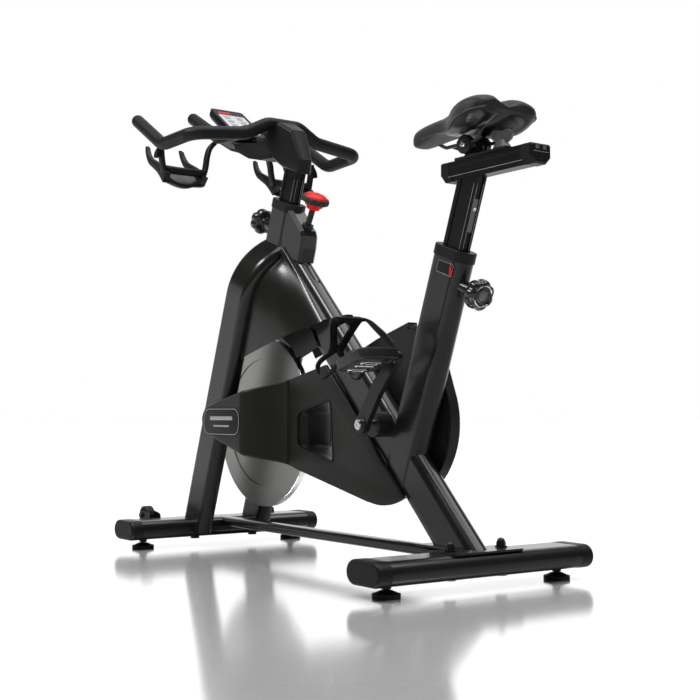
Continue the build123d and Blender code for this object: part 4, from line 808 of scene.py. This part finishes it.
def screw(name, place, radius, body, mat):
    profile = [(radius, -0.6), (radius, 0.5), (radius * 0.85, 1.3), (radius * 0.5, 1.5), (radius * 0.42, 0.3),
               (0.3, 0.3)]
    lathe(name, profile, place, body, mat, "bright_steel", steps=24)


def make_post_trim():
    """Painted highlights as pale strips down the rear edges of both posts, and the seat post's scale with its
    screw.
    """

    def strip(name, plane, x, y, low, high, width, thick, look):
        band(name, [(x, y, low), (x, y, high)], (0, 1, 0), width, thick, plane, *look, steps=1)

    # These pale strips are painted highlights along the rear ridges and corners of each post.
    for index, y in enumerate((-14.0, -7.4, 7.4, 14.0)):
        x = -27.7 if abs(y) < 10 else -25.0
        strip(f"seat_post_edge_highlight_{index}", SEAT, x, y, 106, 236, 0.9, 0.7, POST_MARK)
        strip(f"bar_post_edge_highlight_{index}", HEAD, x, y, 106, 158, 0.9, 0.7, BAR_HIGHLIGHT)
    strip("seat_post_scale", SEAT, -25.6, 0, 141, 206, 11.5, 1.2, POST_GREY)
    place = along(SEAT, 186, False) @ Matrix.Translation((0, 0, 26.2))
    screw("seat_post_screw", place, 4.2, "seat_post", BRIGHT)


def make_side_trim():
    """The holes down both sides of the bar's post, and the lines along the rail."""
    hole = [(3.2, -0.4), (3.2, 0.3), (2.5, 0.35), (2.2, -0.2), (0.3, -0.2)]
    for side, tag in SIDES:
        for k in range(4):
            centre = HEAD @ Matrix.Translation((2 + 9 * (k % 2), side * 13.1, 108 + 14 * k))
            lathe(f"bar_post_hole_{tag}_{k}", hole, centre @ Matrix.Rotation(radians(-90 * side), 4, "X"),
                  "handlebar_post", DARK_STEEL, "post_anodised", steps=24)
        y = side * RAIL_SIDE
        band(f"rail_line_{tag}", [(-645, y, 781.6), (-440, y, 781.6)], (0, 0, 1), 1.1, 0.8, WORLD, *POST_MARK,
             steps=1)
        y = side * (RAIL_SIDE - 0.05)
        band(f"rail_groove_{tag}", [(-641, y, 799), (-443, y, 799)], (0, 0, 1), 2.2, 0.6, WORLD, "seat_post",
             BLACK, "black_plastic", 1)


def make_rail_cap():
    """The marks on the rail's rear face: two windows, a line and a hole."""
    rear = WORLD @ Matrix(((0, 0, -1, RAIL_REAR), (-1, 0, 0, 0), (0, 1, 0, 0), (0, 0, 0, 1)))
    for index, y in enumerate((-9, 9)):
        outer, inner = rounded(9, 7, 1.2, (y, 804)), rounded(6.4, 4.6, 0.8, (y, 804))
        slab(f"rail_cap_window_{index}", [outer, inner], -0.4, 0.5, rear, *POST_GREY, 0.15)
        slab(f"rail_cap_pane_{index}", [inner], -0.3, 0.1, rear, *POST_MARK, 0.05)
    slab("rail_cap_line", [rounded(38, 1.4, 0.6, (0, 796))], -0.3, 0.4, rear, *POST_MARK, 0.1)
    lathe("rail_cap_hole", [(4.6, -0.3), (4.6, 0.5), (3.6, 0.6), (3.1, -0.2), (0.3, -0.2)],
          rear @ Matrix.Translation((0, 787, 0)), "seat_post", DARK_STEEL, "dark_steel", steps=32)


def make_badge():
    """An outlined badge with a slanted red bar on the left of the seat tube."""
    badge = SEAT @ Matrix(((1, 0, 0, -8), (0, 0, 1, 23.1), (0, 1, 0, 64), (0, 0, 0, 1)))
    slab("tube_badge", [rounded(50, 26, 4)], -0.2, 0.5, badge, *FRAME_PLATE, 0.2)
    slab("tube_badge_line", [rounded(48, 24, 3.4), rounded(46, 22, 2.6)], 0.4, 0.8, badge, *FRAME_MARK, 0.1)
    slab("tube_badge_bar", [[(-21, -9), (-16, -9), (-13, 9), (-18, 9)]], 0.4, 0.8, badge, "frame", RED,
         "red_plastic", 0.1)


def make_trim():
    make_post_trim()
    make_side_trim()
    make_rail_cap()
    make_badge()
    for index, height in enumerate((700, 830)):
        place = BEAM @ Matrix(((0, 0, -1, -49), (0, 1, 0, 0), (1, 0, 0, height), (0, 0, 0, 1)))
        screw(f"beam_screw_{index}", place, 4.0, "frame", DARK_STEEL)


# ---- Console ----

# The case behind the screen: depth, width and length of each section.
CASE_ROWS = ((-9, 92.6, 150.6), (-14, 92.6, 150.6), (-19, 90, 147), (-25, 80, 134), (-28, 62, 112))


def make_console():
    """A red header and two columns of plain grey tiles on a white display; no lettering."""
    face = CONSOLE @ Matrix.Rotation(radians(-90), 4, "Z")
    grey = ("handlebar_post", SCREEN_GREY, "console_plastic")
    slab("console_display", [rounded(74, 104, 2, (0, -9))], -0.9, -0.2, face, "handlebar_post", SCREEN,
         "console_plastic", 0.1)
    slab("console_header", [rounded(34, 9, 1.5, (-14, 56))], -0.9, -0.1, face, "handlebar_post", RED,
         "red_plastic", 0.1)
    for row in range(4):
        for column in range(2):
            x, y = -18 + 36 * column, 28 - 23 * row
            for part, width, height, radius, up in (("tile", 24, 3.0, 1.2, 5), ("value", 17, 7.0, 2.0, -4)):
                outline = rounded(width, height, radius, (x, y + up))
                slab(f"console_{part}_{row}{column}", [outline], -0.3, 0.0, face, *grey, 0.05)
    rings = [[face @ Vector((x, y, depth)) for x, y in rounded(width, length, 9)]
             for depth, width, length in CASE_ROWS]
    make_piece("console_back", *skin(rings), "handlebar_post", BLACK, "console_plastic",
               sharp=PLATE_SHARP, bevel=0.001)
    band("bracket_panel", [(232, 0, 944), (262, 0, 943.5), (300, 0, 962), (332, 0, 977)], (0, 1, 0), 42, 1.8,
         WORLD, *BAR_GREY, steps=4)


# ---- Bottle holders ----

HOLDER_X, HOLDER_Y = 398, 152
# The hoop, seen along the bike: across it from the holder's middle, and up.
HOOP = [(64, 968), (63, 950), (60, 925), (54, 899), (40, 883), (20, 876), (0, 874), (-18, 878), (-36, 888),
        (-50, 904), (-57, 926), (-61, 952), (-68, 974), (-82, 990)]
# A prong, seen from the side: forward, and up.
PRONG = [(396, 882), (410, 896), (430, 913), (454, 927), (476, 940), (490, 956), (498, 972), (501, 984)]
# The scoop between the prongs: forward from the holder's middle, up, and how far its middle dips.
SCOOP = ((-8, 876, 3), (2, 881, 6), (16, 894, 9), (32, 908, 9), (50, 921, 6), (66, 931, 2))


def make_prong(name, place, y):
    """A blade that tapers forward and leans in towards its neighbour."""
    rings = []
    line = [Vector(point) for point in smooth_line([(x - HOLDER_X, z) for x, z in PRONG], 4)]
    for i, (x, z) in enumerate(line):
        share = i / (len(line) - 1)
        slope = heading(line, i)
        wide, deep = 14 - 4 * share, (30 - 19 * share ** 0.7) * (1 if share < 0.96 else 0.55)
        lean_in = y - copysign(5 * share ** 2, y)
        lift = (deep - 11) / 2
        rings.append([place @ Vector((x - slope.y * (v + lift), lean_in + u, z + slope.x * (v + lift)))
                      for u, v in rounded(wide, deep, 3.2, steps=3)])
    make_piece(name, *skin(rings), *BAR_BLACK, sharp=50)


def make_holders():
    for side, tag in SIDES:
        place = WORLD @ Matrix.Scale(side, 4, (0, 1, 0)) @ Matrix.Translation((HOLDER_X, HOLDER_Y, 0))
        band(f"holder_hoop_{tag}", [(0, y, z) for y, z in HOOP], (1, 0, 0), 20, 10.5, place, *BAR_BLACK, 5,
             ("bottle_holders",))
        band(f"holder_shelf_{tag}", [(0, 54, 911), (0, 20, 910), (0, -20, 910), (0, -53, 911)], (1, 0, 0),
             22, 18, place, *BAR_BLACK, steps=4)
        for index, y in enumerate((53, -48)):
            make_prong(f"holder_prong_{tag}_{index}", place, y)
        across = [k / 8 - 1 for k in range(17)]
        rings = [[place @ Vector((x, 2.5 + 48 * t, z - dish * (1 - t * t))) for t in across]
                 for x, z, dish in SCOOP]
        make_piece(f"holder_scoop_{tag}", *sheet(rings), *BAR_GREY, sharp=50, thick=0.003)
        band(f"holder_lug_{tag}", [(0, 66, 962), (0, 74, 948), (0, 76, 936)], (1, 0, 0), 16, 10, place,
             *BAR_BLACK, steps=4)


# ---- Stem cover and the arm under the console ----

# Outlines seen from the side: forward, and up.
STEM_SIDE = [(176, 1008), (124, 980), (91, 906), (99, 874), (160, 897), (196, 922), (222, 955), (222, 992)]
ARM_SIDE = [(199, 925), (248, 928), (304, 941), (352, 963), (391, 975), (440, 999), (464, 1013), (466, 1022),
            (438, 1028), (400, 1002), (372, 988), (330, 984), (270, 972), (215, 972)]
ARM_PANEL = [(444, 1010), (424, 1010), (392, 1000), (372, 986), (366, 975), (388, 979), (418, 993)]
STEM_HALF, STEM_SPREAD = 17.5, 0.135  # half its width at its rear end, and what it gains forward
STEM_REAR = 91
ARM_HALF, ARM_MIDDLE = 30, (330, 980)


def stem_ring(side, drop, shrink):
    """The stem cover's outline on one of its sides, drawn in towards its middle."""
    middle = Vector((sum(x for x, _ in STEM_SIDE), sum(z for _, z in STEM_SIDE))) / len(STEM_SIDE)
    points = []
    for x, z in STEM_SIDE:
        far = Vector((x, z)) - middle
        far *= 1 - shrink / far.length
        half = STEM_HALF + STEM_SPREAD * (x - STEM_REAR) - drop
        points.append(WORLD @ Vector((middle.x + far.x, side * half, middle.y + far.y)))
    return points


def make_stem_and_arm():
    """The cover narrows towards the rider; the arm runs forward under the bar to the console."""
    rings = [stem_ring(1, 0, 7), stem_ring(1, 6, 0), stem_ring(-1, 6, 0), stem_ring(-1, 0, 7)]
    make_piece("stem_cover_moulding", *skin(rings), *BAR_BLACK, ("stem_cover",), 20, bevel=0.0016)
    rings = []
    mid_x, mid_z = ARM_MIDDLE
    for y, shrink in ((ARM_HALF, 0.03), (ARM_HALF - 2, 0.0), (2 - ARM_HALF, 0.0), (-ARM_HALF, 0.03)):
        rings.append([WORLD @ Vector((x + (mid_x - x) * shrink, y, z + (mid_z - z) * shrink))
                      for x, z in ARM_SIDE])
    make_piece("console_arm", *skin(rings), *BAR_BLACK, ("console_bracket",), 20, bevel=0.0012)
    for side, tag in SIDES:
        plane = side_view(side * ARM_HALF, side)
        slab(f"console_arm_panel_{tag}", [ARM_PANEL], 0, 0.8, plane, *BAR_GREY, 0.3)


# ---- Studio ----

CAMERA_PLACE = Vector((-2.21595, 1.5554, 0.3343))
CAMERA_AHEAD = Vector((0.8131, -0.5802, 0.0480))
LENS, SENSOR = 63.69, 36.0  # millimetres
FLOOR_HALF, FLOOR_Z = 30.0, -0.0005
POLISH, POLISH_NEAR, POLISH_FAR = 0.62, 1.3, 3.2  # the floor's gloss, and the metres over which it fades
ROOM_AHEAD = Vector((0.814, -0.581, 0.0))
ROOM_DIM, ROOM_BRIGHT = 0.07, 1.18
ROOM_START, ROOM_END = 0.62, 0.82  # the cosines from that direction over which the room brightens
SUN_POWER, SUN_ANGLE = 3.2, radians(60)


def aim(thing, direction):
    thing.rotation_mode = "QUATERNION"
    thing.rotation_quaternion = direction.to_track_quat("-Z", "Y")


def make_camera():
    data = bpy.data.cameras.new("camera")
    data.lens, data.sensor_width = LENS, SENSOR
    data.clip_start, data.clip_end = 0.1, 100.0
    camera = add_to_scene("camera", data)
    camera.location = CAMERA_PLACE
    aim(camera, CAMERA_AHEAD)
    bpy.context.scene.camera = camera


def make_floor():
    """A pale polished floor; its polish fades away from the bike."""
    mesh = bpy.data.meshes.new("floor")
    corners = [(x * FLOOR_HALF, y * FLOOR_HALF, FLOOR_Z) for x, y in ((-1, -1), (1, -1), (1, 1), (-1, 1))]
    mesh.from_pydata(corners, [], [(0, 1, 2, 3)])
    floor = add_to_scene("floor", mesh)
    mat = surface("studio_floor", 0.90, 0.92, (0.12, 0.14), 40.0, 0.0)
    nodes, links = mat.node_tree.nodes, mat.node_tree.links
    away = vector_step(nodes, links, "LENGTH", nodes.new("ShaderNodeTexCoord").outputs["Object"])
    polish = value_range(nodes, links, away, POLISH, 0.0).node
    polish.inputs["From Min"].default_value, polish.inputs["From Max"].default_value = POLISH_NEAR, POLISH_FAR
    for socket in ("Metallic", "Specular IOR Level"):
        links.new(polish.outputs["Result"], nodes["Principled BSDF"].inputs[socket])
    mesh.materials.append(mat)


def make_world():
    """White to the camera, and a room that is only bright ahead, so that dark paint keeps its depth."""
    world = bpy.data.worlds.new("studio")
    bpy.context.scene.world = world
    world.use_nodes = True
    nodes, links = world.node_tree.nodes, world.node_tree.links
    direction = nodes.new("ShaderNodeTexCoord").outputs["Generated"]
    facing = vector_step(nodes, links, "DOT_PRODUCT", direction, ROOM_AHEAD)
    room = colour_ramp(nodes, links, facing, ROOM_DIM, ROOM_BRIGHT, ROOM_START, ROOM_END)
    seen = nodes.new("ShaderNodeLightPath").outputs["Is Camera Ray"]
    links.new(swap_colour(nodes, links, seen, room, 1.0), nodes["Background"].inputs["Color"])


def area_light(name, place, target, size_x, size_y, power):
    data = bpy.data.lights.new(name, "AREA")
    data.shape, data.size, data.size_y = "RECTANGLE", size_x, size_y
    data.energy = power
    light = add_to_scene(name, data)
    light.location = place
    aim(light, Vector(target) - Vector(place))


def make_lights():
    data = bpy.data.lights.new("sky_panel", "SUN")
    data.energy, data.angle = SUN_POWER, SUN_ANGLE
    add_to_scene("sky_panel", data).rotation_euler = (radians(8), radians(-10), 0)
    area_light("top_box", (0.4, 1.5, 2.5), (0, 0, 0.4), 1.5, 0.35, 45.0)
    area_light("left_box", (2.9, 1.9, 0.9), (0.3, 0, 0.3), 1.8, 1.2, 5.0)


# ---- The whole picture ----

paint_nodes()
make_holders()
make_stem_and_arm()
make_saddle()
make_saddle_clamp()
make_saddle_shell()
make_knobs()
make_left_guard()
make_guard_label()
make_hood()
make_pedals()
make_trim()
make_console()
bpy.context.scene.view_settings.view_transform = "Standard"
make_camera()
make_floor()
make_world()
make_lights()
